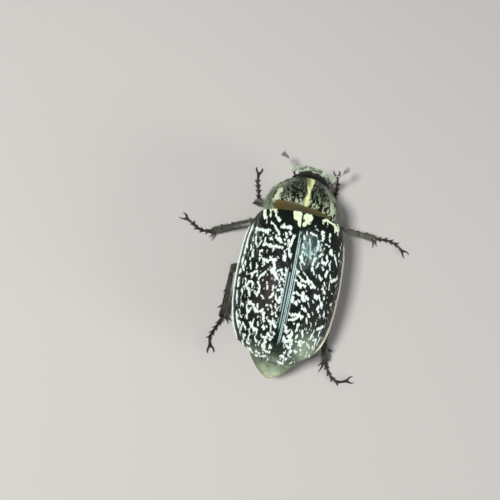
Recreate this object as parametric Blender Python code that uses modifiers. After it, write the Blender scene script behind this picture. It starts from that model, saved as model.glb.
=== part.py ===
"""Pine chafer: a large marbled scarab beetle, life size, standing on its six feet.

Sizes below are in millimetres, and every mesh is written in metres. +X is the beetle's right, +Y is
forward and +Z is up. The floor is z = 0. Stations along the body count y from the elytra's front edge.
Neighbouring plates and leg segments keep a gap of GAP, which stands for the soft joint between them.
"""

import math

import bmesh
import bpy
from mathutils import Matrix, Vector

MM = 0.001
GAP = 0.3
MITRE = 1.6  # how far a corner may go, in gaps, where a piece is grown by GAP to cut room for it
BOX_CENTRE = (0.3095, -6.2597)  # the middle of the whole beetle's box, which becomes the origin

# The back: y, half width, height of the middle line, height of the side edge
BACK = (
    (0.6, 6.6, 13.2, 8.3),
    (-1.2, 7.45, 13.75, 7.75),
    (-4.3, 8.1, 14.4, 7.3),
    (-8.3, 8.35, 14.65, 7.0),
    (-12.0, 8.3, 14.35, 6.9),
    (-15.5, 7.95, 13.6, 7.0),
    (-18.6, 7.2, 12.5, 7.2),
    (-21.4, 5.9, 11.0, 7.6),
    (-23.8, 4.3, 8.9, 8.0),
)
BACK_POWER = 2.2  # 2 is an ellipse, more is squarer
ELYTRA_LENGTH = 23.7
ELYTRON_THICKNESS = 0.6
ELYTRA_FRONT = -0.02
SHOULDER_ANGLE = 0.9  # radians out from the middle line, where the front corner's rounding starts
SHOULDER_ROUNDING = 1.35
TAIL_ROUNDING = 2.7
TAIL_POWER = 2.4
SHOULDER_BUMP = (5.8, -2.0, 1.5, 0.4)  # x, y, spread and height of the boss behind each front corner
SUTURE_HALF_WIDTH = 0.19
SCUTELLUM_MARGIN = 0.4
SCUTELLUM_HALF_WIDTH = 1.75
SCUTELLUM_LENGTH = 2.8
SCUTELLUM_POWER = 2.2
SCUTELLUM_TIP_ANGLE = 1.33
SCUTELLUM_THICKNESS = 0.6

# The underside of thorax and abdomen: y, how far inside the back's edge, height of the middle line
BELLY = (
    (0.6, 1.3, 4.2),
    (-1.5, 1.1, 2.9),
    (-5.0, 0.95, 2.3),
    (-9.0, 0.9, 2.5),
    (-14.0, 0.9, 2.6),
    (-18.5, 0.95, 3.1),
    (-22.0, 1.6, 4.0),
    (-25.6, 3.4, 5.0),
)
BELLY_POWER = 2.1
WAIST_Y = -9.2  # where thorax and abdomen part
TRUNK_INSET = 1.0  # how far the trunk's back lies under the elytra's outer surface
SEGMENT_GROOVES = (-11.9, -14.5, -17.0, -19.3, -21.4)
GROOVE_DEPTH = 0.22
GROOVE_SIDES = (0.35, 0.0, -0.2)
ABDOMEN_END = (-22.3, -23.2, -24.2, -25.3)

# The tail plate runs from under the elytra down to its blunt tip: y and z of both ends
PYGIDIUM_TOP = (-22.4, 8.55)
PYGIDIUM_TIP = (-25.75, 4.9)
PYGIDIUM_THICKNESS = 0.55
PYGIDIUM_BULGE = 0.35
PYGIDIUM_EDGE_FALL = 0.25
PYGIDIUM_HALF_WIDTHS = ((0.0, 4.0), (0.25, 3.5), (0.5, 2.8), (0.75, 2.0), (0.92, 1.2), (1.0, 0.75))

# The front body ring: y, half width, height of the middle line, of the side edge and of the underside
PRONOTUM = (
    (0.25, 5.75, 13.0, 8.5, 4.4),
    (1.1, 6.05, 13.65, 8.2, 3.7),
    (2.4, 6.1, 13.8, 7.8, 3.2),
    (3.8, 5.7, 13.35, 7.6, 3.3),
    (5.2, 4.95, 12.3, 7.5, 3.8),
    (6.4, 4.05, 10.95, 7.4, 4.4),
    (7.6, 3.15, 9.0, 7.2, 5.0),
)
PRONOTUM_POWER = 2.25
PRONOTUM_EDGE_DEPTH = 0.5  # how far the shield reaches under its side edge
PROSTERNUM_INSET = 0.9
PROSTERNUM_ROOF = 0.4
COLLAR_TOP = (7.05, 10.3)  # y and z of the front edge above the head
COLLAR_BOTTOM = (5.3, 4.2)

# The head, in its own frame: it hangs forward by HEAD_PITCH and looks a little to the right
HEAD_ORIGIN = (0.7, 6.25, 7.5)
HEAD_PITCH = 47.0
HEAD_YAW = -6.0
HEAD = (  # distance forward, half width, top, underside
    (-1.9, 2.1, 1.3, -1.5),
    (-0.9, 2.75, 1.75, -2.0),
    (0.3, 2.9, 1.95, -2.1),
    (1.3, 2.65, 1.85, -1.9),
    (2.1, 2.3, 1.6, -1.4),
    (2.9, 2.3, 1.45, -0.7),
    (3.7, 2.45, 1.55, 0.1),
    (4.2, 2.5, 1.85, 0.7),
    (4.4, 2.35, 1.95, 1.15),
)
HEAD_RINGS = (-1.9, -0.9, -0.2, 0.5, 1.2, 1.8, 2.4, 3.0, 3.6, 3.95, 4.2, 4.4)
HEAD_POWER = 3.2
CHIN_POWER = 2.4
HEAD_SIDE_SHARE = 0.55  # how far up from the chin the head is widest
EYE_PLACE = (2.4, 1.15, 0.35)
EYE_RADIUS = 0.9

# Feelers: points of each, from inside the head out to the club, and the way its leaves are turned
ANTENNAE = {
    "left": (
        ((-1.9, 8.65, 5.5), (-2.3, 9.25, 5.8), (-2.1, 10.15, 6.2),
         (-2.45, 10.6, 6.2), (-3.0, 11.0, 6.1), (-3.6, 11.35, 6.1)),
        (0.0, 0.0, 1.0),
    ),
    "right": (
        ((3.8, 8.3, 5.5), (4.3, 8.6, 5.8), (4.6, 9.45, 6.2),
         (5.0, 9.8, 6.2), (5.7, 9.95, 6.1), (6.1, 10.5, 6.1)),
        (0.9, -0.35, 0.2),
    ),
}
ANTENNA_RADII = (0.3, 0.38, 0.4, 0.24, 0.22, 0.24)
CLUB_LEAVES = 5
LEAF_LENGTH = 1.3
LEAF_WIDTH = 0.42
LEAF_FLATNESS = 0.42
LEAF_PROFILE = ((0.0, 0.45), (0.15, 0.65), (0.45, 0.95), (0.75, 1.0), (0.93, 0.7), (1.0, 0.3))
LEAF_FAN = 11.0  # degrees between two leaves
LEAF_STEP = 0.1
PALP_PATH = (
    (1.1, 1.2, -1.4),
    (1.3, 2.2, -1.9),
    (1.45, 2.9, -2.0),
    (1.45, 3.55, -1.75),
    (1.35, 4.1, -1.3),
)
PALP_RADII = (0.26, 0.3, 0.33, 0.28, 0.36)

# Legs: where the hip's socket, the knee and the ankle are, the foot's joints out to the last one, the
# tips of the spurs, and the way that the teeth on the shin point
LEGS = {
    "fore_left": {
        "coxa": (-1.75, 3.1, 3.5),
        "hip": (-2.7, 2.9, 3.1),
        "knee": (-5.7, 2.6, 5.0),
        "ankle": (-7.34, 4.0, 1.1),
        "toes": ((-7.42, 5.4, 0.28), (-7.6, 6.3, 0.28), (-7.9, 7.2, 0.28),
                 (-8.15, 8.1, 0.28), (-8.2, 9.5, 0.3)),
        "spurs": ((-6.2, 5.1, 0.7),),
        "outward": (-0.85, -0.6, 0.1),
    },
    "fore_right": {
        "coxa": (1.75, 3.1, 3.5),
        "hip": (2.7, 3.1, 3.1),
        "knee": (5.5, 3.5, 4.9),
        "ankle": (6.1, 6.4, 1.1),
        "toes": ((6.25, 7.9, 0.28), (6.3, 8.8, 0.28), (6.3, 9.7, 0.28),
                 (6.25, 10.6, 0.28), (5.9, 12.0, 0.3)),
        "spurs": ((4.8, 7.3, 0.7),),
        "outward": (0.9, -0.4, 0.1),
    },
    "middle_left": {
        "coxa": (-2.2, -2.1, 3.1),
        "hip": (-3.2, -2.0, 2.7),
        "knee": (-7.9, -0.6, 4.9),
        "ankle": (-13.95, -2.75, 1.1),
        "toes": ((-15.15, -2.97, 0.28), (-16.1, -2.94, 0.28), (-17.05, -2.65, 0.28),
                 (-17.8, -2.05, 0.28), (-19.08, -1.44, 0.3)),
        "spurs": ((-14.5, -4.05, 0.4), (-13.92, -4.5, 0.35)),
        "outward": (-0.2, 1.0, 0.3),
    },
    "middle_right": {
        "coxa": (2.2, -2.1, 3.1),
        "hip": (3.2, -1.6, 2.7),
        "knee": (7.7, 1.2, 4.9),
        "ankle": (14.1, 1.85, 1.1),
        "toes": ((15.45, 2.08, 0.28), (16.5, 2.16, 0.28), (17.5, 2.05, 0.28),
                 (18.5, 1.73, 0.28), (19.7, 0.74, 0.3)),
        "spurs": ((14.94, 0.6, 0.4), (14.3, 0.2, 0.35)),
        "outward": (0.2, 1.0, 0.3),
    },
    "hind_left": {
        "coxa": (-3.1, -7.3, 3.2),
        "hip": (-3.9, -8.1, 2.9),
        "knee": (-9.3, -9.3, 5.2),
        "ankle": (-9.2, -17.2, 1.1),
        "toes": ((-9.74, -18.4, 0.28), (-10.13, -19.3, 0.28), (-10.5, -20.2, 0.28),
                 (-10.76, -21.1, 0.28), (-10.36, -22.4, 0.3)),
        "spurs": ((-8.02, -18.3, 0.45), (-7.6, -17.7, 0.5)),
        "outward": (-1.0, -0.1, 0.2),
    },
    "hind_right": {
        "coxa": (3.1, -7.3, 3.2),
        "hip": (3.8, -8.3, 2.9),
        "knee": (7.2, -13.1, 4.9),
        "ankle": (9.25, -20.9, 1.1),
        "toes": ((9.85, -22.1, 0.28), (10.4, -23.0, 0.28), (11.15, -23.75, 0.28),
                 (12.15, -24.15, 0.28), (13.6, -23.55, 0.3)),
        "spurs": ((8.45, -23.2, 0.4), (8.1, -22.2, 0.5)),
        "outward": (1.0, 0.1, 0.2),
    },
}
LEG_GIRTH = {"fore": 1.0, "middle": 0.94, "hind": 1.25}
COXA_RADII = {"fore": (1.5, 1.0, 1.15), "middle": (1.6, 1.0, 1.0), "hind": (2.5, 1.15, 0.95)}
FEMUR_PROFILE = (
    (0.0, 0.45),
    (0.08, 0.68),
    (0.3, 0.88),
    (0.55, 0.82),
    (0.8, 0.62),
    (0.93, 0.5),
    (1.0, 0.4),
)
FEMUR_FLATNESS = 0.72
TIBIA_PROFILE = ((0.0, 0.3), (0.12, 0.34), (0.4, 0.38), (0.7, 0.44), (0.93, 0.55), (1.0, 0.5))
TIBIA_FLATNESS = 0.8
KNEE_RADIUS = 0.5
KNEE_OVERHANG = 0.25
TARSOMERE = ((0.12, 0.24), (0.8, 0.33), (0.96, 0.33))  # share of each foot joint's length, and radius
TARSUS_SUNK = 0.4
CLAW_SPREAD = 38.0  # degrees
CLAW_STRAIGHTENING = 0.2
CLAW_STEPS = ((0.69, 0.12), (0.5, -0.12), (0.31, -0.2))  # length and rise of each part of a claw
CLAW_RADII = (0.26, 0.25, 0.17, 0.06)
CLAW_SUNK = 0.24
SPUR_RADIUS = 0.2
SPUR_SUNK = 0.3
TOOTH_LEAN = (0.85, 0.5)  # out from the shin, and along it
TOOTH_RADIUS = 0.27
SPIKE_MIDDLE = (0.55, 0.72)  # share of the length, and of the root's radius
SPIKE_TIP_RADIUS = 0.06
# Teeth on the shin's outer edge: how far along it, and how long
TEETH = {
    "fore": ((0.42, 0.8), (0.68, 1.0), (0.93, 1.2)),
    "middle": ((0.38, 0.7), (0.68, 0.85)),
    "hind": ((0.38, 0.9), (0.72, 1.5)),
}
FINISHES = {  # colour and roughness of the nodes' materials
    "elytron": ((0.05, 0.045, 0.04), 0.35),
    "scaly": ((0.32, 0.36, 0.27), 0.6),
    "chitin": ((0.045, 0.03, 0.022), 0.35),
    "leg": ((0.075, 0.04, 0.025), 0.35),
    "eye": ((0.012, 0.01, 0.01), 0.15),
    "club": ((0.2, 0.14, 0.1), 0.5),
}


def clear_scene():
    for obj in list(bpy.data.objects):
        bpy.data.objects.remove(obj, do_unlink=True)


def new_collection(name):
    collection = bpy.data.collections.new(name)
    bpy.context.scene.collection.children.link(collection)
    return collection


def new_material(name, colour, roughness):
    material = bpy.data.materials.new(name)
    material.use_nodes = True
    shader = material.node_tree.nodes["Principled BSDF"]
    shader.inputs["Base Color"].default_value = (*colour, 1.0)
    shader.inputs["Roughness"].default_value = roughness
    return material


def curve_through(rows, at):
    """The row of values at this station, on a smooth curve through the given rows."""
    rows = sorted(rows)
    at = min(max(at, rows[0][0]), rows[-1][0])
    k = max(i for i in range(len(rows) - 1) if rows[i][0] <= at)
    low, high = rows[k], rows[k + 1]
    span = high[0] - low[0]
    t = (at - low[0]) / span

    def slope(i, column):
        before, after = rows[max(i - 1, 0)], rows[min(i + 1, len(rows) - 1)]
        return (after[column] - before[column]) / (after[0] - before[0])

    values = []
    for column in range(1, len(low)):
        start, end = slope(k, column) * span, slope(k + 1, column) * span
        values.append(
            (2 * t**3 - 3 * t**2 + 1) * low[column] + (t**3 - 2 * t**2 + t) * start
            + (3 * t**2 - 2 * t**3) * high[column] + (t**3 - t**2) * end
        )
    return values


def steps(first, last, count):
    """Evenly spaced values from first to last, both included."""
    return [first + (last - first) * i / (count - 1) for i in range(count)]


def square_up(value, power):
    """A sine or cosine bent towards a squarer curve, with its sign kept."""
    return math.copysign(abs(value) ** (2 / power), value)


def to_solid(name, bm, finish):
    """A named object from a closed bmesh in millimetres."""
    bmesh.ops.recalc_face_normals(bm, faces=bm.faces)
    bmesh.ops.scale(bm, vec=(MM, MM, MM), verts=bm.verts)
    return to_object(name, bm, finish)


def to_object(name, bm, finish):
    """A named object from a bmesh in metres, in the model's collection."""
    mesh = bpy.data.meshes.new(name)
    bm.to_mesh(mesh)
    bm.free()
    obj = bpy.data.objects.new(name, mesh)
    model.objects.link(obj)
    mesh.materials.append(materials[finish])
    mesh.shade_smooth()
    mesh.set_sharp_from_angle(angle=math.radians(45))
    return obj


def loft(rings):
    """A closed bmesh through rings of equally many points, with a fan over each end."""
    bm = bmesh.new()
    loops = [[bm.verts.new(point) for point in ring] for ring in rings]
    for first, second in zip(loops, loops[1:]):
        for i in range(len(first)):
            j = (i + 1) % len(first)
            bm.faces.new((first[i], first[j], second[j], second[i]))
    for loop in (loops[0], loops[-1]):
        middle = bm.verts.new(sum((v.co for v in loop), Vector()) / len(loop))
        for i in range(len(loop)):
            bm.faces.new((loop[i], loop[(i + 1) % len(loop)], middle))
    return bm


def sheet(rows):
    """An open bmesh through rows of equally many points."""
    bm = bmesh.new()
    lines = [[bm.verts.new(point) for point in row] for row in rows]
    for first, second in zip(lines, lines[1:]):
        for i in range(len(first) - 1):
            bm.faces.new((first[i], first[i + 1], second[i + 1], second[i]))
    return bm


def make_shell(name, rows, outward, finish, thickness):
    """A plate whose outer face runs through the rows, with its thickness on the inner side."""
    bm = sheet(rows)
    bmesh.ops.recalc_face_normals(bm, faces=bm.faces)
    if sum(face.normal.dot(outward) for face in bm.faces) < 0:
        bmesh.ops.reverse_faces(bm, faces=bm.faces)
    bmesh.ops.scale(bm, vec=(MM, MM, MM), verts=bm.verts)
    obj = to_object(name, bm, finish)
    solidify = obj.modifiers.new("thickness", "SOLIDIFY")
    solidify.thickness = thickness * MM
    solidify.offset = -1.0


def body_ring(y, half_width, top, side, bottom, power_up, power_down, count=28):
    """A cross-section of the body: one arch above the side line and another below it."""
    ring = []
    for i in range(count):
        angle = 2 * math.pi * i / count
        sine, cosine = math.sin(angle), math.cos(angle)
        power = power_up if sine >= 0 else power_down
        height = top - side if sine >= 0 else side - bottom
        x = half_width * square_up(cosine, power)
        ring.append(Vector((x, y, side + height * square_up(sine, power))))
    return ring


def tube(path, radii, up, flatness=1.0, sides=8):
    """Rings round a path, each widest in the direction of up and thinner by flatness across it."""
    points = [Vector(point) for point in path]
    rings = []
    for i, point in enumerate(points):
        along = (points[min(i + 1, len(points) - 1)] - points[max(i - 1, 0)]).normalized()
        across = along.cross(up).normalized()
        high = across.cross(along)
        ring = []
        for k in range(sides):
            angle = 2 * math.pi * (k + 0.5) / sides
            ring.append(point + radii[i] * (math.cos(angle) * high + math.sin(angle) * flatness * across))
        rings.append(ring)
    return rings


def cut_flat(bm, point, normal):
    """Cuts away what lies on the normal's side of a plane, and closes the cut."""
    geometry = bm.verts[:] + bm.edges[:] + bm.faces[:]
    bmesh.ops.bisect_plane(bm, geom=geometry, plane_co=point, plane_no=normal, clear_outer=True)
    bmesh.ops.holes_fill(bm, edges=[edge for edge in bm.edges if edge.is_boundary], sides=0)
    bmesh.ops.triangulate(bm, faces=[face for face in bm.faces if len(face.verts) > 4])


def span(verts):
    """Width, depth and height of a set of vertices, added up."""
    return sum(max(v.co[i] for v in verts) - min(v.co[i] for v in verts) for i in range(3))


def keep_largest(obj):
    """Leaves only the object's largest closed surface, without scraps or sealed hollows."""
    bm = bmesh.new()
    bm.from_mesh(obj.data)
    bm.verts.ensure_lookup_table()
    unseen, shells = set(bm.verts), []
    while unseen:
        stack, shell = [unseen.pop()], set()
        while stack:
            vert = stack.pop()
            shell.add(vert)
            for edge in vert.link_edges:
                other = edge.other_vert(vert)
                if other in unseen:
                    unseen.discard(other)
                    stack.append(other)
        shells.append(shell)
    largest = max(shells, key=span)
    bmesh.ops.delete(bm, geom=[v for v in bm.verts if v not in largest], context="VERTS")
    bm.to_mesh(obj.data)
    bm.free()


def add_boolean(obj, operation):
    boolean = obj.modifiers.new("boolean", "BOOLEAN")
    boolean.operation = operation
    boolean.solver = "MANIFOLD"
    return boolean


def fuse(obj, others):
    """Joins the other pieces to obj, as one closed surface."""
    helpers = new_collection("helpers")
    for other in others:
        model.objects.unlink(other)
        helpers.objects.link(other)
    boolean = add_boolean(obj, "UNION")
    boolean.operand_type = "COLLECTION"
    boolean.collection = helpers
    apply_modifiers(obj)
    for other in others:
        bpy.data.objects.remove(other, do_unlink=True)
    bpy.data.collections.remove(helpers)
    keep_largest(obj)


def carve(obj, rooms):
    """Cuts each room out of obj and leaves the rooms as they are."""
    for room in rooms:
        add_boolean(obj, "DIFFERENCE").object = room
        apply_modifiers(obj)
    keep_largest(obj)


def apply_modifiers(obj):
    bpy.context.view_layer.update()
    graph = bpy.context.evaluated_depsgraph_get()
    mesh = bpy.data.meshes.new_from_object(obj.evaluated_get(graph))
    obj.modifiers.clear()
    obj.data = mesh


def arch_height(x, half_width, top, side, power):
    """Height of an arch over the side line at x from the middle."""
    reach = min(abs(x) / half_width, 1.0)
    return side + (top - side) * (1 - reach**power) ** (1 / power)


def back_point(x, y):
    """The point of the elytra's outer surface at this x and y."""
    half_width, top, side = curve_through(BACK, y)
    height = arch_height(x, half_width, top, side, BACK_POWER)
    bump_x, bump_y, spread, bump_height = SHOULDER_BUMP
    distance = math.hypot(abs(x) - bump_x, y - bump_y)
    return Vector((x, y, height + bump_height * math.exp(-((distance / spread) ** 2))))


def scutellum_half_width(y, margin=0.0):
    """Half the width of the scutellum, grown by a margin, at this y, and 0 behind its tip."""
    reach = -y / (SCUTELLUM_LENGTH + margin)
    if reach >= 1:
        return 0.0
    return (SCUTELLUM_HALF_WIDTH + margin) * (1 - max(reach, 0.0) ** SCUTELLUM_POWER) ** 0.5


def make_elytron(name, side):
    """One wing case: a shell from the middle line, or the scutellum's edge, out to the side."""
    rows = []
    for share in steps(0, 1, 19):
        row = []
        for turn in steps(0, math.pi / 2, 12):
            corner = max(0.0, (turn - SHOULDER_ANGLE) / (math.pi / 2 - SHOULDER_ANGLE))
            front = ELYTRA_FRONT - SHOULDER_ROUNDING * corner**2
            rear = -ELYTRA_LENGTH + TAIL_ROUNDING * math.sin(turn) ** TAIL_POWER
            y = front + (rear - front) * share
            half_width = curve_through(BACK, y)[0]
            inner = max(SUTURE_HALF_WIDTH, scutellum_half_width(y, SCUTELLUM_MARGIN))
            start = math.asin((inner / half_width) ** (BACK_POWER / 2))
            reach = math.sin(start + (math.pi / 2 - start) * turn / (math.pi / 2))
            row.append(back_point(side * half_width * square_up(reach, BACK_POWER), y))
        rows.append(row)
    make_shell(name, rows, Vector((0, 0, 1)), "elytron", ELYTRON_THICKNESS)


def make_scutellum():
    """The small shield between the elytra's roots, its tip pointing back."""
    rows = []
    for turn in steps(0, SCUTELLUM_TIP_ANGLE, 8):
        y = ELYTRA_FRONT - SCUTELLUM_LENGTH * math.sin(turn)
        reach = scutellum_half_width(y)
        rows.append([back_point(x, y) for x in steps(-reach, reach, 9)])
    make_shell("scutellum", rows, Vector((0, 0, 1)), "scaly", SCUTELLUM_THICKNESS)


def trunk_ring(y):
    """The body under the elytra at this y: the back's arch moved in by the wing case, and the belly."""
    half_width, top, side = curve_through(BACK, y)
    inset, bottom = curve_through(BELLY, y)
    groove = GROOVE_DEPTH if y in SEGMENT_GROOVES else 0.0
    half_width -= max(inset, TRUNK_INSET)
    return body_ring(y, half_width, top - TRUNK_INSET, side, bottom + groove, BACK_POWER, BELLY_POWER)


def pygidium_frame():
    """The middle of the tail plate's upper edge, its direction down the plate and its outward normal."""
    top = Vector((0, *PYGIDIUM_TOP))
    along = Vector((0, *PYGIDIUM_TIP)) - top
    outward = along.cross(Vector((1, 0, 0))).normalized()
    return top, along, outward


def make_trunk(rooms):
    """Thorax and abdomen: one body, parted at the waist, cut clear of the legs' roots."""
    stations = steps(ELYTRA_FRONT, WAIST_Y + GAP / 2, 7)
    thorax = to_solid("thorax", loft([trunk_ring(y) for y in stations]), "chitin")
    stations = [WAIST_Y - GAP / 2]
    for at in SEGMENT_GROOVES:
        stations += [at + shift for shift in GROOVE_SIDES]
    bm = loft([trunk_ring(y) for y in (*stations, *ABDOMEN_END)])
    top, _, outward = pygidium_frame()
    cut_flat(bm, top - outward * (PYGIDIUM_THICKNESS + PYGIDIUM_EDGE_FALL + GAP), outward)
    abdomen = to_solid("abdomen", bm, "chitin")
    for obj in (thorax, abdomen):
        carve(obj, rooms)


def make_pygidium():
    """The scaly tail plate, a blunt triangle that bulges out a little."""
    top, along, outward = pygidium_frame()
    rows = []
    for share in steps(0, 1, 9):
        half_width = curve_through(PYGIDIUM_HALF_WIDTHS, share)[0]
        bulge = PYGIDIUM_BULGE * math.sin(math.pi * min(share + 0.1, 1.0))
        row = []
        for x in steps(-1, 1, 9):
            lift = bulge * (1 - x * x) - PYGIDIUM_EDGE_FALL * x * x
            row.append(top + along * share + outward * lift + Vector((half_width * x, 0, 0)))
        rows.append(row)
    make_shell("pygidium", rows, outward, "scaly", PYGIDIUM_THICKNESS)


def collar_plane():
    """A point on the front body ring's opening, and the opening's forward normal."""
    top, bottom = Vector((0, *COLLAR_TOP)), Vector((0, *COLLAR_BOTTOM))
    return top, Vector((1, 0, 0)).cross(bottom - top).normalized()


def make_front_ring(rooms):
    """The pronotum, the shield above, and the prosternum, the underside between the fore legs."""
    point, forward = collar_plane()
    upper, lower = [], []
    for y in steps(PRONOTUM[0][0], PRONOTUM[-1][0], 11):
        half_width, top, side, bottom = curve_through(PRONOTUM, y)
        edge = side - PRONOTUM_EDGE_DEPTH
        upper.append(body_ring(y, half_width, top, side, edge, PRONOTUM_POWER, 2.0))
        roof = edge - GAP
        half_width -= PROSTERNUM_INSET
        lower.append(body_ring(y, half_width, roof, roof - PROSTERNUM_ROOF, bottom, 4.0, 2.0))
    for name, rings, finish in (("pronotum", upper, "scaly"), ("prosternum", lower, "chitin")):
        bm = loft(rings)
        cut_flat(bm, point, forward)
        carve(to_solid(name, bm, finish), rooms)


def head_matrix():
    """Takes a point from the head's frame to the beetle's."""
    return (
        Matrix.Translation(HEAD_ORIGIN)
        @ Matrix.Rotation(math.radians(HEAD_YAW), 4, "Z")
        @ Matrix.Rotation(math.radians(-HEAD_PITCH), 4, "X")
    )


def make_head(eye_rooms):
    """The head, with an upturned front edge and a socket for each eye. Returns the room it needs."""
    rings = []
    for y in HEAD_RINGS:
        half_width, top, bottom = curve_through(HEAD, y)
        side = bottom + (top - bottom) * HEAD_SIDE_SHARE
        ring = body_ring(y, half_width, top, side, bottom, HEAD_POWER, CHIN_POWER, count=20)
        rings.append([head_matrix() @ point for point in ring])
    bm = loft(rings)
    point, forward = collar_plane()
    cut_flat(bm, point + forward * GAP, -forward)
    head = to_solid("head", bm, "scaly")
    room = grown(head)
    carve(head, eye_rooms)
    return room


def eye_place(side):
    x, y, z = EYE_PLACE
    return head_matrix() @ Vector((side * x, y, z))


def make_ball(name, place, radius):
    bm = bmesh.new()
    bmesh.ops.create_uvsphere(bm, u_segments=14, v_segments=10, radius=radius)
    bmesh.ops.translate(bm, vec=place, verts=bm.verts)
    return to_solid(name, bm, "eye")


def in_head(points, side):
    """Points given for the left side of the head's frame, on the side wanted, in the beetle's frame."""
    return [head_matrix() @ Vector((side * x, y, z)) for x, y, z in points]


def make_antenna(side_name, rooms):
    """One feeler: a thick first joint, a thin stalk, and a short club of leaves."""
    points, up = ANTENNAE[side_name]
    path, up = [Vector(point) for point in points], Vector(up)
    stalk = to_solid(f"antenna_{side_name}", loft(tube(path, ANTENNA_RADII, Vector((0, 0, 1)))), "leg")
    carve(stalk, rooms)
    along = (path[-1] - path[-2]).normalized()
    across = along.cross(up).normalized()
    leaves = []
    for i in range(CLUB_LEAVES):
        step = i - (CLUB_LEAVES - 1) / 2
        root = path[-1] + along * GAP + across * LEAF_STEP * step
        aim = Matrix.Rotation(math.radians(-LEAF_FAN * step), 3, up) @ along
        points = [root + aim * LEAF_LENGTH * share for share, _ in LEAF_PROFILE]
        radii = [LEAF_WIDTH * width for _, width in LEAF_PROFILE]
        leaf = loft(tube(points, radii, up, LEAF_FLATNESS))
        leaves.append(to_solid(f"antenna_club_{side_name}" if i == 0 else "leaf", leaf, "club"))
    fuse(leaves[0], leaves[1:])


def make_palp(side_name, side, rooms):
    """One of the two jointed feelers beside the mouth."""
    palp = loft(tube(in_head(PALP_PATH, side), PALP_RADII, Vector((0, 0, 1))))
    carve(to_solid(f"palp_{side_name}", palp, "leg"), rooms)


def make_spike(root, tip, radius):
    """A five-sided thorn."""
    share, narrowing = SPIKE_MIDDLE
    path = [root, root.lerp(tip, share), tip]
    rings = tube(path, (radius, radius * narrowing, SPIKE_TIP_RADIUS), Vector((0, 0, 1)), sides=5)
    return to_solid("spike", loft(rings), "leg")


def make_coxa(name, leg, pair):
    """The hip piece, half sunk in the body's underside."""
    bm = bmesh.new()
    bmesh.ops.create_uvsphere(bm, u_segments=12, v_segments=8, radius=1.0)
    outward = Vector(leg["hip"]) - Vector(leg["coxa"])
    turn = Matrix.Rotation(math.atan2(outward.y, outward.x), 4, "Z")
    size = Matrix.Diagonal((*COXA_RADII[pair], 1.0))
    bmesh.ops.transform(bm, matrix=Matrix.Translation(leg["coxa"]) @ turn @ size, verts=bm.verts)
    return to_solid(name, bm, "chitin")


def grown(obj):
    """A copy of a closed piece whose faces all stand GAP further out, to cut room for it."""
    bm = bmesh.new()
    bm.from_mesh(obj.data)
    bm.normal_update()
    moves = [(vert, vert.normal * GAP * MM * min(vert.calc_shell_factor(), MITRE)) for vert in bm.verts]
    for vert, move in moves:
        vert.co += move
    twin = obj.copy()
    twin.data = bpy.data.meshes.new("room")
    bm.to_mesh(twin.data)
    bm.free()
    helpers_for_cutting.objects.link(twin)
    return twin


def make_limb(name, start, end, profile, girth, high, flatness):
    """A femur or tibia from start to end, whose radii follow the profile."""
    path = [start.lerp(end, share) for share, _ in profile]
    radii = [radius * girth for _, radius in profile]
    return to_solid(name, loft(tube(path, radii, high, flatness, sides=10)), "leg")


def make_leg(pair, side_name, leg):
    """Hip piece, femur, tibia and foot. Returns the rooms to cut in the body."""
    name = f"{pair}_{side_name}"
    girth = LEG_GIRTH[pair]
    hip, knee, ankle = (Vector(leg[key]) for key in ("hip", "knee", "ankle"))
    thigh = (knee - hip).normalized()
    shin = (ankle - knee).normalized()
    high = thigh.cross(shin).cross(thigh).normalized()

    coxa_room = grown(make_coxa(f"coxa_{name}", leg, pair))
    past_knee = knee + thigh * KNEE_OVERHANG
    femur = make_limb(f"femur_{name}", hip, past_knee, FEMUR_PROFILE, girth, high, FEMUR_FLATNESS)
    carve(femur, [coxa_room])
    femur_room = grown(femur)

    below_knee = knee + shin * (KNEE_RADIUS * girth + GAP)
    tibia = make_limb(f"tibia_{name}", below_knee, ankle, TIBIA_PROFILE, girth, high, TIBIA_FLATNESS)
    spikes = make_spikes(below_knee, ankle, TEETH[pair], leg)
    foot_rooms = [grown(piece) for piece in (tibia, *spikes)]
    fuse(tibia, spikes)
    carve(tibia, [femur_room])

    root = ankle - shin * TARSUS_SUNK
    tarsus = make_tarsus(f"tarsus_{name}", root, [Vector(toe) for toe in leg["toes"]])
    carve(tarsus, foot_rooms)
    return [coxa_room, femur_room]


def make_spikes(start, ankle, teeth, leg):
    """The teeth on the shin's outer edge and the spurs at its end."""
    shin = (ankle - start).normalized()
    outward = Vector(leg["outward"])
    side = (outward - shin * outward.dot(shin)).normalized()
    aim = (side * TOOTH_LEAN[0] + shin * TOOTH_LEAN[1]).normalized()
    spikes = []
    for share, length in teeth:
        root = start.lerp(ankle, share)
        spikes.append(make_spike(root, root + aim * length, TOOTH_RADIUS))
    for tip in leg["spurs"]:
        spikes.append(make_spike(ankle - shin * SPUR_SUNK, Vector(tip), SPUR_RADIUS))
    return spikes


def make_claw(joint, along, turn):
    """One hooked claw that leaves the foot's last joint at an angle and bends back along it and down."""
    aim = Matrix.Rotation(math.radians(turn), 3, "Z") @ along
    bend = Matrix.Rotation(math.radians(turn * CLAW_STRAIGHTENING), 3, "Z") @ along
    directions = (aim, aim.lerp(bend, 0.5).normalized(), bend)
    path = [joint - along * CLAW_SUNK]
    for direction, (length, rise) in zip(directions, CLAW_STEPS):
        path.append(path[-1] + direction * length + Vector((0, 0, rise)))
    return to_solid("claw", loft(tube(path, CLAW_RADII, Vector((0, 0, 1)), sides=6)), "leg")


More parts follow.
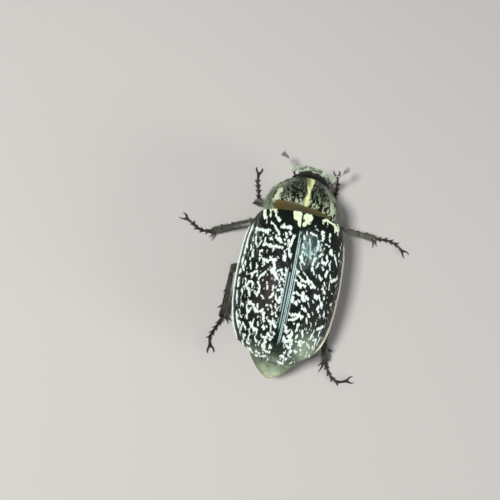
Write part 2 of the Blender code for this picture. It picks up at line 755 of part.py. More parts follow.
def make_tarsus(name, root, toes):
    """Five foot joints, each swelling towards its end, and two claws, cut level at the floor."""
    points, radii = [root], [TARSOMERE[0][1]]
    joints = [root, *toes]
    for first, second in zip(joints, joints[1:]):
        for share, radius in TARSOMERE:
            points.append(first.lerp(second, share))
            radii.append(radius)
    foot = to_solid(name, loft(tube(points, radii, Vector((0, 0, 1)))), "leg")
    along = (toes[-1] - toes[-2]).normalized()
    fuse(foot, [make_claw(toes[-1], along, turn) for turn in (-CLAW_SPREAD, CLAW_SPREAD)])
    bm = bmesh.new()
    bm.from_mesh(foot.data)
    cut_flat(bm, Vector(), Vector((0, 0, -1)))
    bm.to_mesh(foot.data)
    bm.free()
    return foot


def stand_on_origin():
    """Puts the middle of the beetle's box over the origin."""
    for obj in model.objects:
        obj.location = (-BOX_CENTRE[0] * MM, -BOX_CENTRE[1] * MM, 0)


clear_scene()
model = new_collection("pine_chafer")
helpers_for_cutting = new_collection("rooms")
materials = {name: new_material(name, *values) for name, values in FINISHES.items()}

leg_rooms = []
for leg_name, leg_points in LEGS.items():
    leg_rooms += make_leg(*leg_name.split("_"), leg_points)
make_elytron("elytron_left", -1)
make_elytron("elytron_right", 1)
make_scutellum()
make_trunk(leg_rooms)
make_pygidium()
eye_rooms = [make_ball("room", eye_place(side), EYE_RADIUS + GAP) for side in (-1, 1)]
make_front_ring(leg_rooms + eye_rooms)
head_room = make_head(eye_rooms)
for side_word, side_sign in (("left", -1), ("right", 1)):
    make_ball(f"eye_{side_word}", eye_place(side_sign), EYE_RADIUS)
    make_antenna(side_word, [head_room, *eye_rooms])
    make_palp(side_word, side_sign, [head_room])
for room in [*helpers_for_cutting.objects, *eye_rooms]:
    bpy.data.objects.remove(room, do_unlink=True)
stand_on_origin()
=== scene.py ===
"""Looks of the pine chafer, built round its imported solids.

Every piece is made in the beetle's own millimetres: +X is its right, +Y is forward, +Z is up, the floor
is z = 0, and y counts from the front edge of the wing cases. Form.build moves and scales each piece
into the row frame. Plates and legs are nets of points, fine enough for their ribs and beads. Scales and
hairs are small closed meshes that stand on those nets and lie the way that the nets' rows run.
"""

import math
from collections import namedtuple

import bpy
import numpy as np
from mathutils import Matrix, Vector


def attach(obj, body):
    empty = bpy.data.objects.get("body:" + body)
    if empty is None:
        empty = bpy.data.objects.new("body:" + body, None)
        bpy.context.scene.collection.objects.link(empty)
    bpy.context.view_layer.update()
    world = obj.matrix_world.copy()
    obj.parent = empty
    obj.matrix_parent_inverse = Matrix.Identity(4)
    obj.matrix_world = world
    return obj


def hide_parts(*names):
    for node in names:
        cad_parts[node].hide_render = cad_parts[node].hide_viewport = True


MM = 0.001
BOX_CENTRE = np.array((0.3095, -6.2597, 0.0))
QUARTER_TURN = math.pi / 2

# The back: y, half width, height of the middle line, height of the side edge
BACK = (
    (0.6, 6.6, 13.2, 8.3), (-1.2, 7.45, 13.75, 7.75), (-4.3, 8.1, 14.4, 7.3), (-8.3, 8.35, 14.65, 7.0),
    (-12.0, 8.3, 14.35, 6.9), (-15.5, 7.95, 13.6, 7.0), (-18.6, 7.2, 12.5, 7.2), (-21.4, 5.9, 11.0, 7.6),
    (-23.8, 4.3, 8.9, 8.0),
)
BACK_POWER = 2.2
ELYTRA_LENGTH = 23.7
ELYTRA_FRONT = -0.02
ELYTRON_THICKNESS = 0.5
SHOULDER_ANGLE = 0.9
SHOULDER_ROUNDING = 1.35
TAIL_ROUNDING = 2.7
TAIL_POWER = 2.4
SHOULDER_BUMP = (5.8, -2.0, 1.5, 0.4)
SEAM_HALF_WIDTH = 0.035
SCUTELLUM_MARGIN = 0.14
SCUTELLUM_HALF_WIDTH = 1.75
SCUTELLUM_LENGTH = 2.8
SCUTELLUM_POWER = 2.2
SCUTELLUM_TIP_ANGLE = 1.42
BELLY = (  # y, how far inside the back's edge, height of the middle line
    (0.6, 1.3, 4.2), (-1.5, 1.1, 2.9), (-5.0, 0.95, 2.3), (-9.0, 0.9, 2.5),
    (-14.0, 0.9, 2.6), (-18.5, 0.95, 3.1), (-22.0, 1.6, 4.0), (-25.6, 3.4, 5.0),
)
BELLY_POWER = 2.1
WAIST_Y = -9.2
TRUNK_INSET = 1.0
SEGMENT_EDGES = (-9.2, -11.9, -14.5, -17.0, -19.3, -21.4, -25.4)
PYGIDIUM_TOP = (-22.4, 8.55)
PYGIDIUM_TIP = (-25.75, 4.9)
PYGIDIUM_THICKNESS = 0.5
PYGIDIUM_BULGE = 0.35
PYGIDIUM_EDGE_FALL = 0.25
PYGIDIUM_HALF_WIDTHS = ((0.0, 4.0), (0.25, 3.5), (0.5, 2.8), (0.75, 2.0), (0.92, 1.2), (1.0, 0.75))
PRONOTUM = (  # y, half width, height of the middle line, of the side edge and of the underside
    (0.25, 5.75, 13.0, 8.5, 4.4), (1.1, 6.05, 13.65, 8.2, 3.7), (2.4, 6.1, 13.8, 7.8, 3.2),
    (3.8, 5.7, 13.35, 7.6, 3.3), (5.2, 4.95, 12.3, 7.5, 3.8), (6.4, 4.05, 10.95, 7.4, 4.4),
    (7.6, 3.15, 9.0, 7.2, 5.0),
)
PRONOTUM_REAR = 0.02
PRONOTUM_POWER = 2.25
COLLAR_TOP = (7.05, 10.3)
COLLAR_BOTTOM = (5.3, 4.2)
HEAD_ORIGIN = (0.7, 6.25, 7.5)
HEAD_PITCH = 47.0
HEAD_YAW = -6.0
HEAD = (  # distance forward, half width, top, underside
    (-1.9, 2.1, 1.3, -1.5), (-0.9, 2.75, 1.75, -2.0), (0.3, 2.9, 1.95, -2.1), (1.3, 2.65, 1.85, -1.9),
    (2.1, 2.3, 1.6, -1.4), (2.9, 2.3, 1.45, -0.7), (3.7, 2.45, 1.55, 0.1), (4.2, 2.5, 1.85, 0.7),
    (4.4, 2.35, 1.95, 1.15),
)
HEAD_POWER = 3.2
CHIN_POWER = 2.4
HEAD_SIDE_SHARE = 0.55
NECK_PLACE = -0.3
EYE_PLACE = (2.4, 1.15, 0.35)
EYE_RADIUS = 0.9
ANTENNAE = {
    "left": (((-1.9, 8.65, 5.5), (-2.3, 9.25, 5.8), (-2.1, 10.15, 6.2), (-2.45, 10.6, 6.2), (-3.0, 11.0, 6.1),
              (-3.6, 11.35, 6.1)), (0.0, 0.0, 1.0)),
    "right": (((3.8, 8.3, 5.5), (4.3, 8.6, 5.8), (4.6, 9.45, 6.2), (5.0, 9.8, 6.2), (5.7, 9.95, 6.1),
               (6.1, 10.5, 6.1)), (0.9, -0.35, 0.2)),
}
CLUB_LEAVES = 5
LEAF_LENGTH = 1.3
LEAF_HALF_WIDTH = 0.294
LEAF_TURN = 6.05
LEAF_SPACING = 0.08
PALP_PATH = ((1.1, 1.2, -1.4), (1.3, 2.2, -1.9), (1.45, 2.9, -2.0), (1.45, 3.55, -1.75), (1.35, 4.1, -1.3))
LEGS = {
    "fore_left": {
        "coxa": (-1.75, 3.1, 3.5), "hip": (-2.7, 2.9, 3.1), "knee": (-5.7, 2.6, 5.0),
        "ankle": (-7.34, 4.0, 1.1),
        "toes": ((-7.42, 5.4, 0.28), (-7.6, 6.3, 0.28), (-7.9, 7.2, 0.28), (-8.15, 8.1, 0.28),
                 (-8.2, 9.5, 0.3)),
        "spurs": ((-6.2, 5.1, 0.7),), "outward": (-0.85, -0.6, 0.1),
    },
    "fore_right": {
        "coxa": (1.75, 3.1, 3.5), "hip": (2.7, 3.1, 3.1), "knee": (5.5, 3.5, 4.9), "ankle": (6.1, 6.4, 1.1),
        "toes": ((6.25, 7.9, 0.28), (6.3, 8.8, 0.28), (6.3, 9.7, 0.28), (6.25, 10.6, 0.28), (5.9, 12.0, 0.3)),
        "spurs": ((4.8, 7.3, 0.7),), "outward": (0.9, -0.4, 0.1),
    },
    "middle_left": {
        "coxa": (-2.2, -2.1, 3.1), "hip": (-3.2, -2.0, 2.7), "knee": (-7.9, -0.6, 4.9),
        "ankle": (-13.95, -2.75, 1.1),
        "toes": ((-15.15, -2.97, 0.28), (-16.1, -2.94, 0.28), (-17.05, -2.65, 0.28), (-17.8, -2.05, 0.28),
                 (-19.08, -1.44, 0.3)),
        "spurs": ((-14.5, -4.05, 0.4), (-13.92, -4.5, 0.35)), "outward": (-0.2, 1.0, 0.3),
    },
    "middle_right": {
        "coxa": (2.2, -2.1, 3.1), "hip": (3.2, -1.6, 2.7), "knee": (7.7, 1.2, 4.9),
        "ankle": (14.1, 1.85, 1.1),
        "toes": ((15.45, 2.08, 0.28), (16.5, 2.16, 0.28), (17.5, 2.05, 0.28), (18.5, 1.73, 0.28),
                 (19.7, 0.74, 0.3)),
        "spurs": ((14.94, 0.6, 0.4), (14.3, 0.2, 0.35)), "outward": (0.2, 1.0, 0.3),
    },
    "hind_left": {
        "coxa": (-3.1, -7.3, 3.2), "hip": (-3.9, -8.1, 2.9), "knee": (-9.3, -9.3, 5.2),
        "ankle": (-9.2, -17.2, 1.1),
        "toes": ((-9.74, -18.4, 0.28), (-10.13, -19.3, 0.28), (-10.5, -20.2, 0.28), (-10.76, -21.1, 0.28),
                 (-10.36, -22.4, 0.3)),
        "spurs": ((-8.02, -18.3, 0.45), (-7.6, -17.7, 0.5)), "outward": (-1.0, -0.1, 0.2),
    },
    "hind_right": {
        "coxa": (3.1, -7.3, 3.2), "hip": (3.8, -8.3, 2.9), "knee": (7.2, -13.1, 4.9),
        "ankle": (9.25, -20.9, 1.1),
        "toes": ((9.85, -22.1, 0.28), (10.4, -23.0, 0.28), (11.15, -23.75, 0.28), (12.15, -24.15, 0.28),
                 (13.6, -23.55, 0.3)),
        "spurs": ((8.45, -23.2, 0.4), (8.1, -22.2, 0.5)), "outward": (1.0, 0.1, 0.2),
    },
}
LEG_GIRTH = {"fore": 1.0, "middle": 0.94, "hind": 1.25}
COXA_RADII = {"fore": (1.5, 1.0, 1.15), "middle": (1.6, 1.0, 1.0), "hind": (2.5, 1.15, 0.95)}
# Share of the segment's length and radius
FEMUR_PROFILE = (
    (-0.1, 0.28), (0.0, 0.45), (0.08, 0.68), (0.3, 0.88), (0.55, 0.82), (0.8, 0.62), (0.93, 0.52), (1.0, 0.4),
)
TIBIA_PROFILE = (
    (-0.1, 0.16), (-0.04, 0.28), (0.04, 0.31), (0.2, 0.34), (0.4, 0.37), (0.7, 0.43), (0.93, 0.56), (1.0, 0.52),
)
TEETH = {
    "fore": ((0.42, 0.8), (0.68, 1.0), (0.93, 1.2)),
    "middle": ((0.38, 0.7), (0.68, 0.85)),
    "hind": ((0.38, 0.9), (0.72, 1.5)),
}
KNEE_RADIUS = 0.5
TOOTH_LEAN = (0.85, 0.5)
CLAW_SPREAD = 30.0
# Each part of a claw: its turn as a share of CLAW_SPREAD, its length and its rise
CLAW_ARC = ((1.2, 0.42, 0.1), (1.0, 0.38, 0.03), (0.6, 0.34, -0.06), (-0.1, 0.3, -0.15), (-0.9, 0.2, -0.14))

# The camera: where it is in the row frame, in millimetres, and its right, up and back
CAMERA_PLACE = (-8.9015, -22.4563, 107.507)
CAMERA_AXES = (
    (0.978826, 0.195991, 0.059053), (-0.204138, 0.955911, 0.211097), (-0.015077, -0.218682, 0.97568),
)

# White marks of the wing cases, drawn one by one, in hundredths of a millimetre: half the stroke's width, then
# x and y of each point that it runs through
MARKS = (
    # left wing case
    (46, -605, -20, -595, -110, -575, -170), (20, -520, 0, -505, -140), (14, -550, -180, -540, -260),
    (25, -490, 0, -440, -10), (17, -440, -30, -410, -130), (30, -390, -150, -360, -200),
    (26, -285, -260, -270, -300, -190, -295, -175, -270), (20, -310, -310, -290, -300),
    (18, -180, -290, -160, -320), (20, -470, -250, -430, -280), (26, -410, -300, -355, -370, -320, -440),
    (22, -365, -440, -355, -490), (30, -675, -340, -650, -370, -580, -385, -510, -400),
    (20, -680, -390, -670, -430), (20, -500, -370, -490, -450), (17, -555, -460, -550, -480),
    (20, -660, -480, -645, -550), (15, -700, -510, -680, -550), (19, -650, -570, -615, -670, -560, -570),
    (20, -700, -630, -690, -720), (17, -770, -610, -755, -660), (20, -780, -700, -775, -760),
    (26, -665, -760, -645, -820), (15, -685, -840, -675, -880), (20, -750, -890, -730, -960),
    (28, -770, -960, -740, -1020), (20, -660, -950, -640, -1020), (20, -540, -860, -535, -880),
    (17, -565, -930, -550, -1000), (19, -510, -520, -510, -570), (20, -440, -520, -415, -540),
    (29, -520, -610, -460, -610, -390, -640, -300, -635, -245, -635), (26, -370, -650, -370, -700),
    (26, -330, -510, -290, -530), (15, -290, -540, -190, -580), (15, -230, -390, -195, -450),
    (22, -160, -370, -150, -390), (14, -225, -490, -215, -510), (16, -160, -510, -150, -530),
    (25, -90, -410, -105, -520, -125, -590), (16, -130, -570, -160, -550), (20, -130, -650, -120, -720),
    (16, -100, -710, -90, -760), (32, -175, -780, -175, -810), (13, -190, -680, -180, -730),
    (12, -275, -790, -265, -810), (22, -510, -730, -560, -735, -550, -800), (12, -530, -810, -490, -860),
    (27, -480, -860, -420, -880, -360, -840, -300, -850), (24, -395, -810, -350, -840),
    (32, -320, -880, -295, -950, -285, -1000), (38, -320, -1000, -280, -1060, -240, -1120),
    (26, -240, -1120, -190, -1160), (20, -250, -1020, -200, -990, -180, -975), (24, -475, -910, -460, -930),
    (18, -130, -960, -105, -990, -115, -1050, -160, -1050, -180, -1000), (12, -210, -1040, -200, -1090),
    (17, -180, -1100, -110, -1160), (26, -630, -1090, -590, -1120), (20, -600, -1080, -540, -1050),
    (15, -600, -1120, -600, -1170), (15, -690, -1060, -680, -1110),
    (22, -420, -1060, -450, -1090, -490, -1160), (14, -525, -1080, -520, -1120),
    (22, -690, -1180, -675, -1210),
    (23, -635, -1330, -670, -1280, -635, -1230, -595, -1220, -560, -1250, -565, -1290),
    (31, -605, -1340, -585, -1420), (26, -710, -1340, -690, -1400), (21, -495, -1220, -460, -1290),
    (28, -460, -1320, -470, -1420), (13, -520, -1380, -500, -1390), (18, -410, -1410, -370, -1445),
    (13, -360, -1200, -355, -1230), (24, -345, -1260, -335, -1305), (20, -265, -1250, -250, -1310),
    (24, -240, -1350, -270, -1410), (19, -200, -1360, -190, -1410, -160, -1440),
    (30, -120, -1380, -130, -1470), (19, -175, -1290, -130, -1270, -105, -1280, -120, -1360),
    (13, -175, -1500, -160, -1550, -130, -1580, -110, -1560), (17, -290, -1540, -285, -1550),
    (17, -240, -1540, -220, -1570), (22, -195, -1620, -190, -1650), (15, -140, -1620, -130, -1680),
    (18, -175, -1710, -160, -1750), (28, -585, -1520, -530, -1550, -490, -1570),
    (20, -435, -1550, -420, -1600), (26, -480, -1590, -430, -1650, -360, -1640, -330, -1620),
    (20, -590, -1580, -570, -1650), (19, -520, -1630, -560, -1690, -560, -1750, -540, -1780),
    (16, -675, -1560, -640, -1580), (35, -320, -1660, -290, -1720), (24, -310, -1740, -280, -1790),
    (22, -250, -1720, -220, -1770, -140, -1780), (26, -130, -1800, -110, -1830),
    (16, -690, -1650, -670, -1690), (14, -710, -1710, -680, -1760), (15, -650, -1730, -620, -1770),
    (20, -670, -1820, -630, -1850), (18, -590, -1850, -530, -1930), (14, -610, -1900, -595, -1950),
    (20, -445, -1780, -440, -1830), (34, -450, -1860, -430, -1910, -380, -1920),
    (20, -490, -1830, -460, -1860), (30, -360, -1940, -350, -1990), (15, -475, -1930, -460, -2000),
    (13, -440, -2000, -390, -1990), (13, -380, -1800, -360, -1860), (30, -280, -1850, -260, -1880),
    (16, -240, -1840, -220, -1850), (17, -170, -1830, -165, -1880), (22, -195, -1940, -180, -1960),
    (14, -170, -1980, -110, -2000), (17, -105, -1910, -95, -1940),
    (24, -280, -1980, -240, -2020, -190, -2010), (30, -200, -2060, -230, -2120, -190, -2170),
    (18, -280, -2100, -290, -2140), (22, -200, -2200, -110, -2210), (20, -350, -2060, -330, -2080),
    (20, -450, -2020, -450, -2090), (18, -470, -2120, -420, -2140), (20, -550, -2030, -530, -2080),
    (20, -540, -2120, -510, -2180), (20, -450, -2200, -390, -2220, -360, -2270),
    (18, -310, -2240, -250, -2250), (15, -320, -2280, -270, -2300), (15, -230, -2290, -160, -2280),
    # right wing case
    (26, 340, -40, 370, -20), (14, 320, -50, 330, -100), (26, 400, -30, 480, -50), (45, 520, -50, 570, -110),
    (26, 600, -130, 600, -210), (24, 530, -120, 540, -170), (36, 570, -10, 610, -80),
    (16, 400, -50, 410, -100), (12, 220, -160, 220, -190), (16, 250, -220, 270, -250),
    (22, 150, -315, 250, -325), (15, 90, -310, 100, -350), (25, 60, -380, 85, -430),
    (17, 155, -400, 170, -480), (34, 350, -240, 340, -280), (28, 370, -310, 350, -390),
    (20, 465, -240, 465, -280), (18, 470, -330, 475, -360), (26, 290, -420, 300, -460),
    (25, 300, -510, 290, -590), (18, 330, -510, 350, -550), (16, 180, -520, 200, -600, 250, -650),
    (15, 210, -650, 220, -710), (22, 70, -510, 90, -570), (19, 90, -640, 80, -700), (32, 80, -730, 95, -790),
    (16, 110, -790, 145, -830), (16, 150, -650, 160, -680), (15, 380, -600, 340, -660),
    (26, 290, -690, 260, -800), (16, 350, -770, 330, -810), (18, 430, -430, 480, -440),
    (40, 535, -490, 550, -550), (24, 520, -500, 510, -550), (28, 600, -550, 650, -640),
    (15, 650, -650, 680, -690), (20, 680, -360, 690, -390), (17, 675, -480, 680, -530),
    (25, 470, -610, 495, -670, 475, -735, 420, -740, 400, -700), (16, 380, -620, 420, -600),
    (20, 555, -650, 540, -700), (26, 535, -730, 560, -790), (17, 430, -800, 450, -830),
    (32, 515, -850, 500, -910), (25, 590, -890, 620, -960, 690, -910, 730, -860),
    (15, 600, -1000, 610, -1090), (25, 265, -870, 320, -940), (27, 405, -950, 450, -1010),
    (14, 510, -1030, 530, -1060), (30, 495, -1110, 520, -1160, 550, -1180), (12, 60, -830, 110, -910),
    (12, 140, -940, 180, -980), (10, 30, -930, 90, -970), (19, 40, -995, 140, -1060, 220, -1090),
    (19, 200, -1000, 280, -1070, 330, -1110), (28, 230, -1070, 270, -1110), (27, 300, -1150, 370, -1130),
    (22, 100, -1130, 150, -1150, 220, -1150), (13, 50, -1090, 100, -1140), (18, 120, -1170, 150, -1190),
    (14, 60, -1290, 100, -1270, 160, -1300), (13, 140, -1370, 180, -1400), (22, 65, -1360, 65, -1420),
    (28, 120, -1420, 140, -1450), (30, 220, -1260, 215, -1340), (19, 260, -1300, 300, -1340),
    (22, 200, -1360, 250, -1370), (12, 300, -1400, 330, -1430), (14, 370, -1330, 400, -1360),
    (20, 220, -1460, 240, -1490), (27, 270, -1490, 290, -1520), (24, 350, -1550, 380, -1580),
    (25, 340, -1630, 355, -1660), (13, 410, -1500, 430, -1530), (17, 530, -1510, 560, -1540),
    (24, 400, -1260, 460, -1240, 495, -1310), (20, 410, -1270, 430, -1290), (28, 545, -1245, 560, -1270),
    (42, 520, -1340, 530, -1380), (29, 490, -1400, 480, -1440, 510, -1470), (22, 605, -1460, 620, -1520),
    (20, 700, -1270, 700, -1310), (20, 60, -1600, 80, -1620, 150, -1595), (30, 180, -1600, 260, -1620),
    (20, 210, -1560, 220, -1590), (28, 200, -1640, 150, -1675, 90, -1690), (14, 480, -1630, 510, -1660),
    (12, 410, -1660, 440, -1700), (23, 550, -1720, 590, -1700, 630, -1675), (22, 235, -1730, 220, -1820),
    (22, 160, -1830, 180, -1890), (30, 180, -1900, 140, -1940), (24, 50, -1780, 80, -1870),
    (15, 90, -1840, 110, -1860), (27, 310, -1810, 340, -1880), (24, 500, -1760, 490, -1800),
    (34, 480, -1820, 470, -1880), (20, 520, -1900, 585, -1880, 570, -1920, 575, -2020),
    (19, 600, -1760, 595, -1800), (19, 640, -1830, 620, -1930), (24, 300, -1950, 330, -2020),
    (20, 320, -1950, 380, -1960), (18, 430, -1980, 470, -2000), (26, 60, -1950, 70, -2010, 130, -2000),
    (28, 150, -1960, 190, -2000), (28, 190, -2030, 180, -2090, 130, -2070), (23, 200, -2120, 220, -2150),
    (18, 180, -2180, 190, -2200), (15, 245, -1880, 240, -1950), (18, 260, -2120, 290, -2140),
    (15, 340, -2090, 360, -2110), (26, 90, -2230, 190, -2260), (22, 70, -2320, 150, -2335),
)

SIDES = (("left", -1), ("right", 1))
SCALE_LENGTH = (0.15, 0.25)
SCALE_WIDTH = (0.07, 0.1)


def rgb(red, green, blue):
    """A colour seen as these values from 0 to 255, as linear light."""
    value = np.array((red, green, blue)) / 255
    return np.where(value <= 0.04045, value / 12.92, ((value + 0.055) / 1.055) ** 2.4)


# ---------------------------------------------------------------- sums on arrays


def unit(vectors):
    return vectors / np.maximum(np.linalg.norm(vectors, axis=-1, keepdims=True), 1e-12)


def split(values):
    """The columns of the last axis, such as x, y and z."""
    return np.moveaxis(values, -1, 0)


def smooth(start, end, value):
    """A smooth step from 0 at start to 1 at end. It falls where start is the larger."""
    t = np.clip((value - start) / (end - start), 0, 1)
    return t * t * (3 - 2 * t)


def bell(value, width):
    return np.exp(-((value / width) ** 2))


def blot(x, y, centre, radii=(1, 1), width=1.0):
    """1 at the centre of an oval patch, and less all round it."""
    return bell(np.hypot((x - centre[0]) / radii[0], (y - centre[1]) / radii[1]), width)


def mix(first, second, share):
    """Colours between first and second, with one share for each place."""
    share = np.asarray(share)[..., None]
    return np.asarray(first) * (1 - share) + np.asarray(second) * share


def curve(rows, at):
    """Values at these stations on smooth curves through the rows, as the last axis."""
    rows = np.array(rows, float)
    rows = rows[np.argsort(rows[:, 0])]
    place, values = rows[:, 0], rows[:, 1:]
    index = np.arange(len(place))
    before, after = np.maximum(index - 1, 0), np.minimum(index + 1, len(place) - 1)
    slopes = (values[after] - values[before]) / (place[after] - place[before])[:, None]
    at = np.clip(np.asarray(at, float), place[0], place[-1])
    k = np.clip(np.searchsorted(place, at, "right") - 1, 0, len(place) - 2)
    step = (place[k + 1] - place[k])[..., None]
    t = (at - place[k])[..., None] / step
    return (
        (2 * t**3 - 3 * t**2 + 1) * values[k] + (t**3 - 2 * t**2 + t) * slopes[k] * step
        + (3 * t**2 - 2 * t**3) * values[k + 1] + (t**3 - t**2) * slopes[k + 1] * step
    )


def along_path(path, shares):
    """Points on a smooth line through a path's points, at these shares of its length."""
    path = np.array(path, float)
    reach = np.concatenate([[0], np.cumsum(np.linalg.norm(np.diff(path, axis=0), axis=1))])
    return curve(np.column_stack([reach / reach[-1], path]), shares)


def lattice(cells, seed):
    """A repeatable random value from 0 to 1 for each whole-number cell."""
    x, y, z = split(cells.astype(np.uint64))
    key = x * np.uint64(73856093) ^ y * np.uint64(19349663) ^ z * np.uint64(83492791)
    key = (key ^ np.uint64(seed * 2654435761)) & np.uint64(0xFFFFFFFF)
    key = (key ^ (key >> np.uint64(15))) * np.uint64(2246822519) & np.uint64(0xFFFFFFFF)
    key = (key ^ (key >> np.uint64(13))) * np.uint64(3266489917) & np.uint64(0xFFFFFFFF)
    return ((key >> np.uint64(8)) & np.uint64(0xFFFF)).astype(float) / 0xFFFF


def noise(points, size, seed):
    """Smooth repeatable noise from 0 to 1 in space, with bumps about size millimetres across."""
    cells = points / size + 4096.0
    base = np.floor(cells).astype(np.int64)
    t = cells - base
    t = t * t * (3 - 2 * t)
    total = 0.0
    for corner in np.ndindex(2, 2, 2):
        weight = np.prod(np.where(np.array(corner, bool), t, 1 - t), axis=-1)
        total = total + weight * lattice(base + np.array(corner), seed)
    return total


def ripple(points, size, seed):
    """The same noise, from -0.5 to 0.5."""
    return noise(points, size, seed) - 0.5


def flat_places(x, y):
    return np.stack([x, y, np.zeros_like(x)], axis=-1)


def circle(count):
    """Angles evenly round a full turn."""
    return np.linspace(0, 2 * math.pi, count, endpoint=False)


def spin(axis, degrees):
    return np.array(Matrix.Rotation(math.radians(degrees), 3, axis))


# ---------------------------------------------------------------- nets, closed forms and coats

# Roots of scales or hairs. share and turn run from 0 to 1 along and across a net's rows
Spots = namedtuple("Spots", "place normal along share turn")


def chosen(spots, which):
    return Spots(*(values[which] for values in spots))


class Net:
    """A surface given by rows of points. The rows run the way that its scales and hairs lie."""

    def __init__(self, points, wrap=False, sign=1):
        self.points, self.wrap, self.sign = points, wrap, sign
        down = np.gradient(points, axis=0)
        if wrap:
            across = np.roll(points, -1, axis=1) - np.roll(points, 1, axis=1)
        else:
            across = np.gradient(points, axis=1)
        self.normals = sign * unit(np.cross(down, across))

    def raised(self, amount):
        """The same net with each point moved out by its amount."""
        return Net(self.points + self.normals * np.asarray(amount)[..., None], self.wrap, self.sign)

    def faces(self):
        """Triangles between the net's points."""
        rows, columns = self.points.shape[:2]
        index = np.arange(rows * columns).reshape(rows, columns)
        if self.wrap:
            index = np.concatenate([index, index[:, :1]], axis=1)
        a, b, c, d = index[:-1, :-1], index[:-1, 1:], index[1:, 1:], index[1:, :-1]
        halves = (np.stack([a, b, c], -1), np.stack([a, c, d], -1))
        return np.concatenate([half.reshape(-1, 3) for half in halves])

    def spots(self, count, rng, chance=None):
        """Random roots spread evenly over the net. chance gives from them how likely each one is kept."""
        points, normals = self.points, self.normals
        if self.wrap:
            points, normals = (np.concatenate([grid, grid[:, :1]], axis=1) for grid in (points, normals))
        a, b, c, d = points[:-1, :-1], points[:-1, 1:], points[1:, 1:], points[1:, :-1]
        area = np.linalg.norm(np.cross(c - a, d - b), axis=-1).ravel()
        cell = rng.choice(len(area), size=count, p=area / area.sum())
        i, j = np.unravel_index(cell, a.shape[:2])
        s, t = rng.random(count), rng.random(count)

        def between(grid):
            low = grid[i, j] * (1 - t)[:, None] + grid[i, j + 1] * t[:, None]
            high = grid[i + 1, j] * (1 - t)[:, None] + grid[i + 1, j + 1] * t[:, None]
            return low * (1 - s)[:, None] + high * s[:, None]

        spots = Spots(
            place=between(points), normal=unit(between(normals)),
            along=unit(points[i + 1, j] - points[i, j] + 1e-9),
            share=(i + s) / a.shape[0], turn=(j + t) / a.shape[1],
        )
        return spots if chance is None else chosen(spots, rng.random(count) < chance(spots))


def outward(verts, faces):
    """The faces, turned so that the closed form they make faces out."""
    a, b, c = (verts[faces[:, i]] for i in range(3))
    return faces if np.einsum("ij,ij->", a, np.cross(b, c)) > 0 else faces[:, ::-1]


